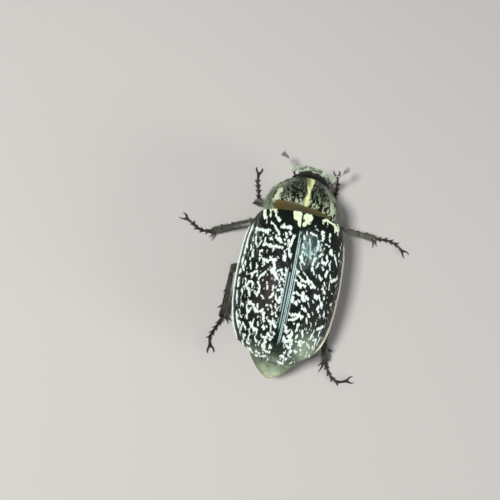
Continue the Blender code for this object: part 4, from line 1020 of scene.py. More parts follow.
def pronotum_fields(place):
    """Cover of scales and their colour, and how much of the felted band there is, at each place."""
    x, y, z = split(place)
    flat = flat_places(x, y)
    wobble = 0.3 * ripple(flat, 0.6, 81)
    fine = 0.3 * ripple(flat_places(x * 2.2, y * 1.2), 0.3, 86)
    ends = smooth(-5.0, -4.4, x + wobble) * (1 - smooth(4.2, 4.7, x + wobble))
    band = (1 - smooth(-0.06, 0.06, y - band_edge(x) + 0.25 * wobble)) * ends

    def patch(size, first, second):
        return smooth(-0.06, 0.1, size - distance_to(x + wobble, y - wobble, first, second) - fine)

    side = smooth(0.83, 0.89, np.abs(x) / curve(PRONOTUM, y)[..., 0] + 0.1 * wobble)
    lobes = np.maximum(patch(0.72, (-4.4, 4.2), (-2.6, 6.0)), patch(0.62, (4.2, 3.7), (2.9, 5.8)))
    patch_left, patch_right = patch(0.42, (-4.75, 1.9), (-4.2, 3.5)), patch(0.3, (4.5, 1.2), (4.3, 2.8))
    off_stripe = np.abs(x - 0.02 - 0.05 * y + wobble * 0.4 + fine * 0.6)
    stripe = smooth(-0.06, 0.06, curve(STRIPE, y)[..., 0] - off_stripe)
    slant = 4 * x - y * np.sign(x)
    hairy = 0.5 * noise(flat_places(slant, 1.4 * y), 0.6, 82)
    hairy = hairy + 0.5 * noise(flat_places(slant * 1.6, y * 2.2), 0.6, 83)
    limit = 0.57 + 0.03 * bell(y - 4, 1.2) - 0.02 * smooth(1.5, 3.5, np.abs(x)) + 0.04 * smooth(5.0, 6.0, y)
    streaks = smooth(limit, limit + 0.02, hairy)
    bare = smooth(0.62, 0.48, noise(place, 0.36, 87)) * smooth(0.2, 0.4, noise(place, 1.3, 88) + 0.3 * lobes)
    side = np.maximum(side, lobes) * (0.3 + 0.65 * bare)
    cover = np.maximum.reduce([side, stripe, patch_left, patch_right * 0.8, streaks * 0.85])
    rim = 1 - smooth(6.75, 6.95, y + wobble) * smooth(2.6, 1.8, np.abs(x)) * (1 - 0.8 * stripe)
    cover = cover * (1 - band) * smooth(-0.5, 0.6, z - 7.6) * rim

    tint = mix(rgb(78, 90, 70), rgb(176, 190, 158), np.maximum(smooth(3.4, 1.6, y), 0.15))
    pale = mix(rgb(86, 98, 80), rgb(148, 160, 136), noise(flat, 0.4, 84))
    tint = mix(tint, pale, smooth(0.1, 0.4, side))
    tint = mix(tint, rgb(206, 216, 186), np.maximum(patch_left, patch_right * 0.7))
    cream = mix(rgb(228, 230, 170), rgb(160, 160, 104), smooth(4.4, 5.2, y) * (1 - smooth(0.2, 0.5, x)))
    return cover, mix(tint, cream, stripe), band


def make_pronotum(shell, scale, hair, rng):
    angles = np.linspace(math.pi + 0.75, -0.75, 170)
    net = Net(front_points(angles, 120, False, PRONOTUM_REAR))
    x, y, z = split(net.points)
    cover, tint, band = pronotum_fields(net.points)
    share = np.linspace(0, 1, 120)[:, None]
    from_side_line = np.abs(angles - QUARTER_TURN) - QUARTER_TURN
    relief = 0.08 * bell(share - 0.012, 0.012) + 0.1 * bell(from_side_line, 0.05)
    relief = relief + 0.06 * ripple(net.points, 0.42, 85) * (1 - band)
    flank = smooth(0.4, 0.8, np.abs(x) / curve(PRONOTUM, y)[..., 0])
    relief = relief - 0.25 * flank * smooth(4.2, 6.0, y) * smooth(7.3, 8.0, z)
    net = net.raised(relief - 0.16 * band + 0.05 * bell(y - band_edge(x) - 0.12, 0.1))
    ground = mix(rgb(16, 19, 14), rgb(78, 70, 42), band * smooth(7.5, 9, z))
    form = Form().plate(net, 0.5, mix(ground, tint * 0.7, cover))
    form.build("pronotum_shield", shell, "scaly", "pronotum")

    spots = net.spots(22000, rng, lambda spots: pronotum_fields(spots.place)[0])
    tint = pronotum_fields(spots.place)[1]
    coat = Coat().scales(spots, rng, SCALE_LENGTH, 0.075, tint, 0.14, 0.16)
    coat.build("pronotum_scales", scale, "scaly", "pronotum")

    felt = net.spots(46000, rng)
    band = pronotum_fields(felt.place)[2]
    felt = chosen(felt, (band > 0.5) & (felt.place[:, 2] > 8.0))
    x = felt.place[:, 0]
    colour = mix(rgb(92, 88, 56), rgb(114, 90, 44), smooth(-2.2, -4.4, x))
    colour = mix(colour, rgb(88, 90, 64), smooth(0.5, 3.5, x))
    coat = Coat().hairs(felt, rng, (0.2, 0.34), 0.035, colour, 0.15, 0.3)
    front = net.spots(5000, rng, lambda spots: (spots.share < 0.03) & (spots.place[:, 2] > 7.6))
    front = front._replace(along=-front.along)
    coat.hairs(front, rng, (0.15, 0.4), 0.03, rgb(112, 116, 92), 0.2, 0.35)
    sides = net.spots(9000, rng, lambda spots: 0.5 * (np.abs(spots.place[:, 2] - 7.9) < 0.45))
    coat.hairs(sides, rng, (0.4, 0.8), 0.035, rgb(150, 146, 112), 0.2, 0.6)
    coat.build("pronotum_hairs", hair, "scaly", "pronotum")


def make_front_underside(shell, hair, rng):
    """The ring's underside, and the neck's folded skin from inside the collar to the rear of the head."""
    below = Net(front_points(np.linspace(0.3, -math.pi - 0.3, 120), 60, True, -0.1))
    below = below.raised(0.08 * ripple(below.points, 0.6, 93))
    form = Form().plate(below, 0.4, rgb(44, 34, 26))
    around = circle(NECK_SIDES)
    upper, lower = (front_points(around, 2, under, PRONOTUM_REAR)[0] for under in (False, True))
    rim = np.where(upper[:, 2:] > 8.0, upper, lower)
    centre, back = rim.mean(0), unit(np.array((0, -1.0, 0.28)))
    rings = [centre + (rim - centre) * size + back * depth for size, depth in NECK_HOLLOW]
    form.tube(np.array(rings), rgb(22, 18, 16))
    half_width, top, bottom = curve(HEAD, NECK_PLACE)
    side = bottom + (top - bottom) * HEAD_SIDE_SHARE
    x, z = arch(around, half_width, top, side, bottom, HEAD_POWER, CHIN_POWER)
    nape = from_head(np.stack([0.96 * x, NECK_PLACE + 0 * x, 0.96 * z], axis=-1))
    hem = centre + (rim - centre) * 0.97 + back * 0.2
    share = np.linspace(0, 1, 22)[:, None, None]
    folds = 1 - 0.06 * np.sin(math.pi * share) - 0.012 * np.cos(6 * math.pi * share)
    skin = hem * (1 - share) + nape * share
    middle = skin.mean(axis=1, keepdims=True)
    form.tube(middle + (skin - middle) * folds, rgb(24, 20, 18))
    form.build("front_underside", shell, "chitin", "prosternum")
    spots = below.spots(2600, rng, lambda spots: smooth(7.4, 6.6, spots.place[:, 2]))
    coat = Coat().hairs(spots, rng, (0.7, 1.5), 0.035, wool_tint(spots), 0.15, 0.55)
    coat.build("front_wool", hair, "chitin", "prosternum")


def wool_tint(spots):
    """Yellowish grey, a little different from lock to lock."""
    return mix(rgb(150, 138, 104), rgb(190, 180, 150), noise(spots.place, 1.0, 95))


# ---------------------------------------------------------------- head

HEAD_TURN = spin("Z", HEAD_YAW) @ spin("X", -HEAD_PITCH)
# The front face under the turned-up rim: each ring's width, height and depth
FRONT_FACE = ((0.97, 0.8, 0.0), (0.94, 0.55, 0.05), (0.9, 0.4, 0.1), (0.8, 0.3, 0.12), (0.4, 0.2, 0.12))
# Lumps of the mouth: centre, radii and colour of the upper lip, the jaws and the lower lip
MOUTH = (
    ((0, 3.75, 0.1), (1.15, 0.55, 0.35), rgb(60, 38, 28)),
    ((-0.95, 3.1, -0.45), (0.5, 0.75, 0.45), rgb(34, 24, 20)),
    ((0.95, 3.1, -0.45), (0.5, 0.75, 0.45), rgb(34, 24, 20)),
    ((0, 2.2, -1.35), (0.85, 1.1, 0.45), rgb(52, 36, 28)),
)
EYE_SHIFT = 0.08
EYE_SWELL = 1.02
PALP_JOINT = ((0, 0.15), (0.25, 0.26), (0.7, 0.31), (0.93, 0.27), (1, 0.16))
PALP_TIP = ((0, 0.14), (0.25, 0.24), (0.6, 0.33), (0.85, 0.28), (1, 0.12))
INNER_PALP = ((0.45, 2.6, -1.6), (0.6, 3.1, -1.6), (0.6, 3.6, -1.35))
INNER_PALP_JOINTS = ((0, 0.12), (0.3, 0.17), (0.5, 0.13), (0.8, 0.19), (1, 0.1))


def from_head(points):
    """Points of the head's own frame in the beetle's."""
    return np.asarray(points, float) @ HEAD_TURN.T + np.array(HEAD_ORIGIN)


def to_head(spots):
    """The spots' places in the head's own frame."""
    return (spots.place - np.array(HEAD_ORIGIN)) @ HEAD_TURN


def head_cover(local):
    """How thickly scales cover the head: the front shield under them, and a bare crown."""
    x, y, z = split(local)
    crown = 3.68 - 0.12 * x**2 - 0.06 * np.abs(x) ** 3
    return smooth(-0.08, 0.08, y - crown + 0.5 * ripple(local, 0.4, 103)) * smooth(-0.4, 0.2, z)


def head_green(local, pale):
    return mix(rgb(96, 112, 92), pale, smooth(0.2, 0.75, noise(local, 0.4, 102)))


def head_net():
    """The head's skin in its own frame, with the seam, dish, ridge and pits of its front shield."""
    y = np.concatenate([np.linspace(-1.9, 3.6, 56), np.linspace(3.65, 4.4, 22)])[:, None]
    half_width, top, bottom = split(curve(HEAD, y))
    side = bottom + (top - bottom) * HEAD_SIDE_SHARE
    x, z = arch(circle(96)[None, :] + 0 * y, half_width, top, side, bottom, HEAD_POWER, CHIN_POWER)
    corner = 0.5 * smooth(2.6, 4.4, y) * np.minimum(np.abs(x) / 2.4, 1) ** 4
    local = np.stack([x, y - corner, z], axis=-1)
    edge_x, _, edge_z = split(local[-1])
    for wide, tall, sunk in FRONT_FACE:
        face_y = 4.4 - 0.5 * np.minimum(np.abs(edge_x * wide) / 2.4, 1) ** 4 - sunk
        face_z = edge_z.mean() + (edge_z - edge_z.mean()) * tall
        local = np.concatenate([local, np.stack([edge_x * wide, face_y, face_z], axis=-1)[None]])
    net = Net(local, wrap=True)
    x, y, _ = split(local)
    seam = -0.16 * bell(y - 2.75 - 0.08 * np.cos(x * 1.6), 0.16)
    dish = -0.16 * bell(y - 3.55, 0.5) * bell(x, 1.9)
    ridge = 0.1 * bell(y - 4.22, 0.1)
    dome = 0.24 * blot(x, y, (0, 1.0), (1.7, 1.5))
    cheek = 0.2 * blot(np.abs(x), y, (2.0, 1.7), width=0.6) * (net.normals[..., 2] > -0.2)
    pits = 0.05 * ripple(local, 0.3, 101) + 0.04 * ripple(local, 0.15, 104)
    return net.raised(smooth(0.2, 0.8, net.normals[..., 2]) * (seam + dish + ridge + dome) + cheek + pits)


def make_head(shell, scale, hair, eye_finish):
    net = head_net()
    tint = mix(rgb(10, 10, 9), head_green(net.points, rgb(190, 204, 178)) * 0.75, head_cover(net.points))
    tint = mix(tint, rgb(50, 34, 26), smooth(0.0, -0.6, net.points[..., 2]))
    tint[-3:] = rgb(56, 44, 34)
    skin = Net(from_head(net.points), wrap=True, sign=net.sign)
    form = Form().tube(skin, tint)
    for centre, radii, colour in MOUTH:
        form.tube(from_head(lobe(centre, radii)), colour)
    form.build("head_skin", shell, "scaly", "head")

    rng = np.random.default_rng(105)
    spots = skin.spots(9000, rng, lambda spots: head_cover(to_head(spots)) * (spots.share < 0.95))
    tint = head_green(to_head(spots), rgb(196, 210, 184))
    coat = Coat().scales(spots, rng, SCALE_LENGTH, 0.075, tint, 0.14, 0.2)
    coat.build("head_scales", scale, "scaly", "head")

    def pale_hairs(spots):
        x, y, z = split(to_head(spots))
        beside_eye = 0.35 * blot(np.abs(x), y, (2.4, 1.9), width=0.4)
        return 0.6 * bell(y - 4.3, 0.2) + 0.2 * smooth(-0.9, -1.4, z) + beside_eye

    def dark_hairs(spots):
        inside = to_head(spots)
        return (1 - head_cover(inside)) * (inside[:, 2] > 0) * (inside[:, 1] > -0.6)

    spots = skin.spots(5000, rng, pale_hairs)
    coat = Coat().hairs(spots, rng, (0.3, 0.7), 0.035, rgb(176, 176, 150), 0.2, 0.45)
    spots = skin.spots(5000, rng, dark_hairs)
    coat.hairs(spots, rng, (0.2, 0.4), 0.03, rgb(22, 22, 19), 0.3, 0.4)
    coat.build("head_hairs", hair, "scaly", "head")

    for name, side in SIDES:
        centre = np.array((side * (EYE_PLACE[0] + EYE_SHIFT), *EYE_PLACE[1:]))
        ball = lobe(centre, EYE_RADIUS * np.array((1, EYE_SWELL, EYE_SWELL)), rows=48, sides=64)
        form = Form().tube(from_head(ball), rgb(14, 14, 16))
        form.build(f"eye_ball_{name}", eye_finish, "eye", f"eye_{name}")
        rim = ring(centre + np.array((-0.35 * side, 0, 0)), 0.98)
        Form().tube(from_head(rim), rgb(24, 22, 20)).build(f"eye_rim_{name}", shell, "scaly")


def ring(centre, radius, thickness=0.13, around=48, sides=10):
    """A thin ring in the plane across x, as rows of points that close on themselves."""
    turn = np.linspace(0, 2 * math.pi, around + 1)[:, None]
    angle = circle(sides)[None, :]
    reach = radius + thickness * np.cos(angle)
    x = thickness * np.sin(angle) + 0 * turn
    return np.asarray(centre) + np.stack([x, reach * np.cos(turn), reach * np.sin(turn)], -1)


def make_palps(leg_finish):
    for name, side in SIDES:
        mirror = np.array((side, 1, 1))
        path = from_head(PALP_PATH * mirror)
        form = Form()
        for i in range(len(path) - 1):
            joint = PALP_TIP if i == len(path) - 2 else PALP_JOINT
            form.tube(beaded(path[i:i + 2], joint, 14, 16), rgb(74, 46, 34))
        form.tube(beaded(from_head(INNER_PALP * mirror), INNER_PALP_JOINTS, 18, 12), rgb(84, 52, 38))
        form.build(f"mouth_feeler_{name}", leg_finish, "leg", f"palp_{name}")


# ---------------------------------------------------------------- feelers

SCAPE = ((0, 0.12), (0.2, 0.16), (0.5, 0.24), (0.8, 0.42), (0.93, 0.4), (1, 0.2))
STALK_BEAD = ((0, 0.09), (0.25, 0.12), (0.7, 0.17), (0.9, 0.15), (1, 0.09))
STALK_END = ((0, 0.09), (0.3, 0.12), (0.7, 0.17), (0.95, 0.24), (1, 0.2))
STALK_BEADS = 5
LEAF_PROFILE = ((0, 0.3), (0.1, 0.55), (0.3, 0.84), (0.6, 1.0), (0.82, 0.93), (0.93, 0.7), (1.0, 0.28))
# Hairs of the scape, of a bead and of a leaf: how many, length, thickness and colour
SCAPE_HAIRS = (900, 0.46, 0.04, rgb(204, 214, 192))
BEAD_HAIRS = (40, 0.14, 0.02, rgb(172, 166, 172))
LEAF_HAIRS = (150, 0.12, 0.02, rgb(172, 166, 172))


def feeler_skins(path):
    """The scape and the beads of the stalk."""
    stalk = along_path(path[2:], np.linspace(0, 1, STALK_BEADS + 1))
    profiles = [STALK_BEAD] * (STALK_BEADS - 1) + [STALK_END]
    stalk_skins = [beaded(stalk[i:i + 2], profile, 12, 16) for i, profile in enumerate(profiles)]
    return [beaded(path[:3], SCAPE, 30, 20)] + stalk_skins


def club_skins(path, up):
    """The leaves of the club, fanned out a little and bent away from each other."""
    along = unit(path[-1] - path[-2])
    across = unit(np.cross(along, up))
    shares = np.linspace(0, 1, 30)
    radii = LEAF_HALF_WIDTH * curve(LEAF_PROFILE, shares)[..., 0]
    skins = []
    for i in range(CLUB_LEAVES):
        step = i - (CLUB_LEAVES - 1) / 2
        root = path[-1] + along * 0.1 + across * LEAF_SPACING * step
        turn = spin(Vector(up), -LEAF_TURN * step)
        bend = 0.05 * (CLUB_LEAVES - 1 - abs(step)) * np.sin(math.pi * shares)
        reach = LEAF_LENGTH * (1.08 - 0.06 * (i % 2))
        straight = root + turn @ along * reach * shares[:, None]
        line = straight - (turn @ across) * (bend * np.sign(step))[:, None]
        skins.append(swept(line, radii, up, 0.24, 24))
    return skins


def make_antennae(leg_finish, club_finish, hair):
    for k, (name, (path, up)) in enumerate(ANTENNAE.items()):
        path, up = np.array(path, float), unit(np.array(up, float))
        skins, leaves = feeler_skins(path), club_skins(path, up)
        form = Form()
        for j, skin in enumerate(skins):
            tint = mix(rgb(120, 108, 106), rgb(186, 180, 186), noise(skin.points, 0.3, 111))
            if j == 0:
                share = np.linspace(0, 1, len(skin.points))[:, None]
                level = smooth(0.3, 0.6, noise(skin.points, 0.35, 114))
                scaly = mix(rgb(62, 70, 56), rgb(190, 204, 180), level)
                tint = mix(rgb(30, 24, 20), scaly, smooth(0.35, 0.6, share))
            form.tube(skin, tint)
        form.build(f"feeler_{name}", leg_finish, "leg", f"antenna_{name}")
        club = Form()
        for leaf in leaves:
            club.tube(leaf, mix(rgb(78, 70, 74), rgb(148, 140, 148), noise(leaf.points, 0.3, 112)))
        club.build(f"feeler_club_{name}", club_finish, "club", f"antenna_club_{name}")

        rng = np.random.default_rng(113 + k)
        coat = Coat()
        kinds = [SCAPE_HAIRS] + [BEAD_HAIRS] * len(skins[1:]) + [LEAF_HAIRS] * len(leaves)
        for j, (skin, (count, size, thickness, colour)) in enumerate(zip(skins + leaves, kinds)):
            spots = skin.spots(count, rng, lambda spots: smooth(0.2, 0.5, spots.share) if j == 0 else 1.0)
            area = (j / len(kinds), 0, (j + 1) / len(kinds), 1)
            coat.hairs(spots, rng, (0.6 * size, 1.2 * size), thickness, colour, 0.2, 0.35, area)
        coat.build(f"feeler_hairs_{name}", hair, "leg", f"antenna_{name}")


# ---------------------------------------------------------------- trunk


def trunk_net(y, step):
    """Body rings at these stations, with step standing out on the underside and flanks."""
    y = np.asarray(y)[:, None]
    half_width, top, side = split(curve(BACK, y))
    inset, bottom = split(curve(BELLY, y))
    angle = circle(150)[None, :]
    x, z = arch(angle + 0 * y, half_width - np.maximum(inset, TRUNK_INSET), top - TRUNK_INSET, side, bottom,
                BACK_POWER, BELLY_POWER)
    net = Net(np.stack([x, y + 0 * x, z], axis=-1), wrap=True, sign=-1)
    low = smooth(0.35, -0.1, np.sin(angle)) + 0 * y
    return net.raised(low * (np.asarray(step)[:, None] + 0.07 * ripple(net.points, 0.7, 121)))


def make_thorax(shell, hair, rng):
    y = np.linspace(ELYTRA_FRONT, WAIST_Y, 90)
    net = trunk_net(y, -0.12 * bell(y + 4.6, 0.15))
    x, y, z = split(net.points)
    net = net.raised(-0.14 * bell(x, 0.16) * (z < 6) * smooth(-4.8, -5.4, y))
    form = Form().tube(net, mix(rgb(38, 28, 22), rgb(64, 46, 34), noise(net.points, 1.2, 122)))
    form.build("thorax_underside", shell, "chitin", "thorax")
    spots = net.spots(16000, rng, lambda spots: smooth(7.6, 6.8, spots.place[:, 2]))
    coat = Coat().hairs(spots, rng, (0.7, 1.5), 0.032, wool_tint(spots), 0.15, 0.45)
    coat.build("thorax_wool", hair, "chitin", "thorax")


def flank_cover(spots):
    """White scale patches along the abdomen's flanks, one behind the other, and a thin cover elsewhere."""
    _, y, z = split(spots.place)
    behind = np.min([np.abs(y - at - 0.75) for at in SEGMENT_EDGES[1:]], axis=0)
    return smooth(7.4, 7.0, z) * np.maximum(0.5, bell(behind, 0.75) * smooth(3.6, 4.6, z) * 1.3)


def make_abdomen(shell, scale, hair, rng):
    stations, steps = [], []
    for k, (front, rear) in enumerate(zip(SEGMENT_EDGES, SEGMENT_EDGES[1:])):
        part = np.linspace(0, 1, 26)[:-1] if k < len(SEGMENT_EDGES) - 2 else np.linspace(0, 1, 30)
        stations.append(front + (rear - front) * part)
        steps.append(0.16 * part**1.5 - 0.1 * bell(1 - part, 0.03) - 0.05)
    net = trunk_net(np.concatenate(stations), np.concatenate(steps))
    # Behind, it ends under the tail plate
    top = np.array((0, *PYGIDIUM_TOP))
    out = unit(np.cross(np.array((0, *PYGIDIUM_TIP)) - top, (1.0, 0, 0)))
    past = np.maximum((net.points - (top - out * 0.7)) @ out, 0)
    net = Net(net.points - out * past[..., None], wrap=True, sign=net.sign)
    form = Form().tube(net, mix(rgb(40, 30, 24), rgb(72, 54, 40), noise(net.points, 1.0, 124)))
    form.build("abdomen_underside", shell, "chitin", "abdomen")

    spots = net.spots(21000, rng, flank_cover)
    tint = mix(rgb(150, 146, 122), rgb(206, 206, 186), smooth(3.6, 4.8, spots.place[:, 2]))
    coat = Coat().scales(spots, rng, (0.22, 0.36), 0.06, tint, 0.15, 0.15)
    coat.build("abdomen_scales", scale, "chitin", "abdomen")
    spots = net.spots(3800, rng, lambda spots: smooth(7.2, 6.6, spots.place[:, 2]))
    coat = Coat().hairs(spots, rng, (0.5, 0.9), 0.03, wool_tint(spots), 0.15, 0.35)
    coat.build("abdomen_hairs", hair, "chitin", "abdomen")


# ---------------------------------------------------------------- legs

LEG_BROWN = rgb(31, 27, 22)
LEG_BLACK = rgb(19, 15, 12)
LEG_GREY_HAIR = rgb(124, 130, 112)
LEG_DARK_HAIR = rgb(44, 34, 27)
GAP = 0.3
KNEE_OVERHANG = 0.25
SHIN_ROOT = 9.35  # millimetres for a whole share, where the shin's shares are below 0
SHIN_CROWN = 9
TROCHANTER = ((0, 0.3), (0.4, 0.62), (0.75, 0.6), (1, 0.3))
TOE = ((0, 0.12), (0.1, 0.15), (0.35, 0.18), (0.72, 0.25), (0.9, 0.29), (0.97, 0.27), (1.0, 0.16))
LAST_TOE = ((0, 0.11), (0.1, 0.14), (0.4, 0.17), (0.8, 0.22), (0.95, 0.25), (1.0, 0.17))
TOE_SPINES = (-75, -45, 45, 75, 125, -125)
CLAW = ((0, 0.19), (0.25, 0.18), (0.6, 0.13), (1.0, 0.015))
FLOOR_GAP = 0.012
UP = np.array((0, 0, 1.0))


def thorn(root, tip, radius, bend=0.0, flatness=1.0, sides=12):
    """A curved spike, from a broad root to a sharp tip."""
    root, tip = np.asarray(root, float), np.asarray(tip, float)
    shares = np.linspace(0, 1, 14)
    side = unit(np.cross(unit(tip - root), (0.3, 0.2, 1.0)))
    path = root + (tip - root) * shares[:, None] + side * (bend * np.sin(math.pi * shares))[:, None]
    return swept(path, radius * (1 - shares**1.6) + 0.02, (0.1, 0.1, 1.0), flatness, sides)


def thigh_net(hip, knee, thigh, high, girth):
    shares = np.linspace(-0.1, 1, 60)
    path = hip + (knee + thigh * KNEE_OVERHANG - hip) * shares[:, None]
    net = swept(path, curve(FEMUR_PROFILE, shares)[..., 0] * girth, high, 0.72, 36,
                lambda share, angle: 1 + 0.05 * np.cos(2 * angle) + 0.03 * np.cos(6 * angle))
    return net.raised(0.05 * ripple(net.points, 0.5, 132))


def shin_net(top, ankle, high, girth):
    def ridges(share, angle):
        return 1 + 0.05 * np.cos(4 * angle) + 0.04 * np.cos(9 * angle) * smooth(0.1, 0.3, share)

    shares = np.linspace(-0.1, 1, 70)
    reach = np.where(shares < 0, shares * SHIN_ROOT / np.linalg.norm(ankle - top), shares)
    path = top + (ankle - top) * reach[:, None]
    net = swept(path, curve(TIBIA_PROFILE, shares)[..., 0] * girth, high, 0.8, 40, ridges)
    return net.raised(0.05 * ripple(net.points, 0.4, 134))


def make_leg(name, leg, leg_finish, hair):
    pair = name.split("_")[0]
    girth = LEG_GIRTH[pair]
    coxa, hip, knee, ankle = (np.array(leg[key]) for key in ("coxa", "hip", "knee", "ankle"))
    thigh, shin = unit(knee - hip), unit(ankle - knee)
    high = unit(np.cross(np.cross(thigh, shin), thigh))

    away = hip - coxa
    ball = lobe((0, 0, 0), np.array(COXA_RADII[pair])[[1, 0, 2]], rows=30, sides=36)[..., [1, 0, 2]]
    rings = ball @ spin("Z", math.degrees(math.atan2(away[1], away[0]))).T + coxa
    form = Form().tube(rings, mix(rgb(44, 32, 26), rgb(66, 46, 36), noise(rings, 0.8, 131)))
    form.build(f"leg_{name}_hip", leg_finish, "chitin", f"coxa_{name}")

    femur = thigh_net(hip, knee, thigh, high, girth)
    form = Form().tube(femur, mix(LEG_BROWN, rgb(56, 47, 36), noise(femur.points, 0.9, 133)))
    form.tube(beaded((coxa + away * 0.75, hip + thigh * 0.55), TROCHANTER, 18, 24), LEG_BROWN)
    form.build(f"leg_{name}_thigh", leg_finish, "leg", f"femur_{name}")

    top = knee + shin * (KNEE_RADIUS * girth + GAP)
    tibia = shin_net(top, ankle, high, girth)
    tint = mix(LEG_BROWN, rgb(42, 39, 30), noise(tibia.points, 0.7, 135))
    form = Form().tube(tibia, mix(tint, LEG_BLACK, smooth(0.78, 0.95, np.linspace(0, 1, 70)[:, None])))
    out = np.array(leg["outward"], float)
    side = unit(out - shin * (out @ shin))
    aim = unit(side * TOOTH_LEAN[0] + shin * TOOTH_LEAN[1])
    for share, size in TEETH[pair]:
        root = top + (ankle - top) * share
        form.tube(thorn(root, root + aim * size, 0.27, 0.04), LEG_BLACK)
    for tip in leg["spurs"]:
        form.tube(thorn(ankle - shin * 0.3, tip, 0.2, -0.12, 0.7), rgb(50, 36, 27))
    for angle in circle(SHIN_CROWN):
        away = math.cos(angle) * high + math.sin(angle) * np.cross(shin, high) * 0.8
        start = ankle - shin * 0.12 + away * 0.7 * girth
        form.tube(thorn(start, start + shin * 0.42 + away * 0.16, 0.07, 0, 1, 6), rgb(48, 30, 22))
    form.build(f"leg_{name}_shin", leg_finish, "leg", f"tibia_{name}")

    foot, toes = make_foot(leg, ankle, shin)
    foot.build(f"leg_{name}_foot", leg_finish, "leg", f"tarsus_{name}")

    def inner_side(spots):
        return 0.25 + 0.75 * smooth(0.5, -0.3, spots.normal @ side)

    def above_foot(spots):
        return inner_side(spots) * (1 - 0.7 * smooth(0.85, 1, spots.share))

    # Each skin's hairs: how many, lengths, thickness, colour, rise, part of the map and chance
    dress = [
        (femur, 1500, (0.35, 0.75), 0.034, LEG_GREY_HAIR, 0.32, (0, 0, 0.3, 1), inner_side),
        (tibia, 1100, (0.35, 0.8), 0.034, LEG_GREY_HAIR, 0.38, (0.3, 0, 0.6, 1), above_foot),
        (tibia, 130, (0.4, 0.8), 0.045, LEG_DARK_HAIR, 0.45, (0.3, 0, 0.6, 1), lambda spots: 1.0),
    ]
    for k, toe in enumerate(toes):
        area = (0.6 + 0.08 * k, 0, 0.68 + 0.08 * k, 1)
        dress.append((toe, 120, (0.15, 0.35), 0.03, LEG_DARK_HAIR, 0.35, area,
                      lambda spots: smooth(0.3, 0.8, spots.share)))
    rng = np.random.default_rng(sum(map(ord, name)))
    coat = Coat()
    for skin, count, lengths, thickness, colour, rise, area, chance in dress:
        coat.hairs(skin.spots(count, rng, chance), rng, lengths, thickness, colour, 0.25, rise, area)
    coat.build(f"leg_{name}_hairs", hair, "leg", f"tibia_{name}")


def make_foot(leg, ankle, shin):
    """Five joints, each widening to its end with a crown of small spines, and two hooked claws."""
    joints = [ankle - shin * 0.4, *np.array(leg["toes"], float)]
    form, skins = Form(), []
    for k, (first, second) in enumerate(zip(joints, joints[1:])):
        last = k == len(joints) - 2
        bow = unit(second - first)
        start = first - bow * (0.05 if k else 0)
        path = (start, (start + second) / 2 + UP * 0.02, second)
        rings = beaded(path, LAST_TOE if last else TOE, 22, 20).points
        rings[..., 2] = np.maximum(rings[..., 2], FLOOR_GAP)
        skins.append(Net(rings, wrap=True, sign=-1))
        form.tube(skins[-1], mix(LEG_BLACK, rgb(44, 31, 24), noise(rings, 0.5, 141)))
        for turn in () if last else TOE_SPINES:
            angle = math.radians(turn)
            away = math.sin(angle) * unit(np.cross(bow, UP)) + math.cos(angle) * UP * 0.75
            root = second - bow * 0.12 + away * 0.21
            tip = root + bow * 0.34 + away * np.array((0.36, 0.36, 0.12))
            tip[2] = max(tip[2], 0.03)
            form.tube(thorn(root, tip, 0.05, 0, 1, 6), rgb(44, 26, 18))
    end, along = joints[-1], unit(joints[-1] - joints[-2])
    for turn in (-CLAW_SPREAD, CLAW_SPREAD):
        path = [end - along * 0.2]
        for share, size, rise in CLAW_ARC:
            path.append(path[-1] + spin("Z", turn * share) @ along * size + UP * rise)
        shares = np.linspace(0, 1, 30)
        radii = curve(CLAW, shares)[..., 0]
        line = along_path(path, shares)
        line[:, 2] = np.maximum(line[:, 2], radii + FLOOR_GAP)
        form.tube(swept(line, radii, UP, 0.75, 16), rgb(30, 16, 12))
        root = along_path(path, np.array([0.25]))[0]
        tip = root + along * 0.3 - UP * 0.2
        tip[2] = max(tip[2], 0.05)
        form.tube(thorn(root, tip, 0.1, 0, 0.7, 8), rgb(30, 16, 12))
    for turn in (-8, 8):
        root = end - along * 0.1
        tip = root + spin("Z", turn) @ along * 0.45 - UP * 0.05
        form.tube(thorn(root, tip, 0.05, 0, 1, 6), rgb(50, 30, 22))
    return form, skins


# ---------------------------------------------------------------- floor, lights and camera

FLOOR_SIZE = 0.6
LIGHT_AIM = Vector((0, -0.004, 0.008))


def make_stage():
    mesh = bpy.data.meshes.new("floor")
    corners = [(x * FLOOR_SIZE, y * FLOOR_SIZE, 0) for x, y in ((-1, -1), (1, -1), (1, 1), (-1, 1))]
    mesh.from_pydata(corners, [], [(0, 1, 2, 3)])
    floor = bpy.data.objects.new("floor", mesh)
    bpy.context.scene.collection.objects.link(floor)
    paper = bpy.data.materials.new("paper")
    paper.use_nodes = True
    paper.node_tree.nodes["Principled BSDF"].inputs["Base Color"].default_value = (0.4, 0.385, 0.365, 1)
    paper.node_tree.nodes["Principled BSDF"].inputs["Roughness"].default_value = 0.9
    mesh.materials.append(paper)


def make_light(name, place, size, watts, colour=(1, 1, 1)):
    data = bpy.data.lights.new(name, "AREA")
    data.size = size
    data.energy = watts
    data.color = colour
    light = bpy.data.objects.new(name, data)
    light.location = place
    light.rotation_euler = (LIGHT_AIM - Vector(place)).to_track_quat("-Z", "Y").to_euler()
    bpy.context.scene.collection.objects.link(light)


def make_lights():
    make_light("key", (-0.12, -0.05, 0.3), 0.06, 1.4)
    make_light("fill", (0.2, 0.14, 0.26), 0.16, 0.05, (0.9, 0.96, 1.0))
    make_light("rim", (0.26, -0.06, 0.1), 0.1, 0.38)
    world = bpy.data.worlds.new("studio")
    world.use_nodes = True
    world.node_tree.nodes["Background"].inputs["Color"].default_value = (0.8, 0.83, 0.86, 1)
    world.node_tree.nodes["Background"].inputs["Strength"].default_value = 0.22
    bpy.context.scene.world = world
    bpy.context.scene.view_settings.view_transform = "Standard"


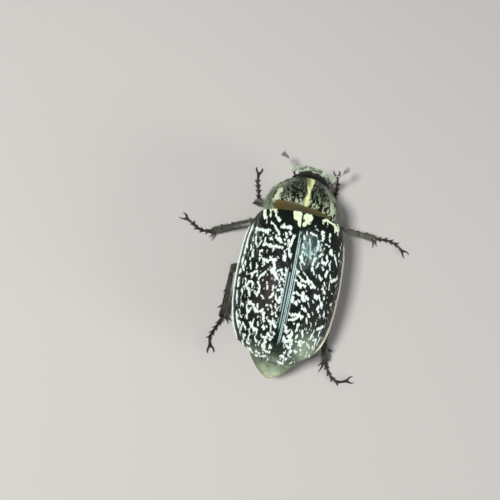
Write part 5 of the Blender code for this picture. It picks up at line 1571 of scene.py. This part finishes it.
def make_camera():
    data = bpy.data.cameras.new("photo")
    data.lens = 45.0
    data.sensor_width = 36.0
    data.clip_start = 0.001
    camera = bpy.data.objects.new("photo", data)
    matrix = Matrix(np.array(CAMERA_AXES).T.tolist()).to_4x4()
    matrix.translation = Vector(CAMERA_PLACE) * MM
    camera.matrix_world = matrix
    bpy.context.scene.collection.objects.link(camera)
    bpy.context.scene.camera = camera


# ---------------------------------------------------------------- the whole beetle

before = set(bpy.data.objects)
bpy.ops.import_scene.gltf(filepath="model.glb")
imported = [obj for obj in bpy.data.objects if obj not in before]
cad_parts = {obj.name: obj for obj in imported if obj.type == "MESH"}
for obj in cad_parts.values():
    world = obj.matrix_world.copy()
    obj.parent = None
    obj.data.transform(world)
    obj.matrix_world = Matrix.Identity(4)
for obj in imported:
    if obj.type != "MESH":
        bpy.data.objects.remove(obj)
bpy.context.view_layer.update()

shell_bumps = (("noise", 2600, 0.6, 0.00012), ("cells", 5200, 0.5, 0.00006))
plate_bumps = (("cells", 4200, 0.6, 0.00005), ("noise", 9000, 0.4, 0.00003))
leg_bumps = (("cells", 5200, 0.5, 0.00005), ("noise", 3000, 0.4, 0.00006))
shell = make_material("shell", 0.38, shell_bumps, specular=0.1)
plain = make_material("plate", 0.42, plate_bumps, specular=0.1)
scale = make_material("scale", 0.62, (("noise", 16000, 0.3, 0.00002),), mottle=(0.08, 2500.0), specular=0.35)
hair = make_material("hair", 0.5, (), mottle=(0.1, 3000.0), specular=0.4)
leg_finish = make_material("leg", 0.4, leg_bumps, specular=0.3)
eye_finish = make_material("eye", 0.2, (("cells", 15000, 0.6, 0.00003),), mottle=(0.1, 9000.0), specular=0.3)
club_finish = make_material("club", 0.5, (("noise", 12000, 0.5, 0.00003),))

make_elytra(shell, scale, hair)
make_scutellum(plain, scale)
make_pygidium(plain, scale, hair)
front_rng, trunk_rng = np.random.default_rng(91), np.random.default_rng(123)
make_pronotum(plain, scale, hair, front_rng)
make_front_underside(plain, hair, front_rng)
make_head(plain, scale, hair, eye_finish)
make_antennae(leg_finish, club_finish, hair)
make_palps(leg_finish)
make_thorax(plain, hair, trunk_rng)
make_abdomen(plain, scale, hair, trunk_rng)
for leg_name, leg_points in LEGS.items():
    make_leg(leg_name, leg_points, leg_finish, hair)
make_stage()
make_lights()
make_camera()
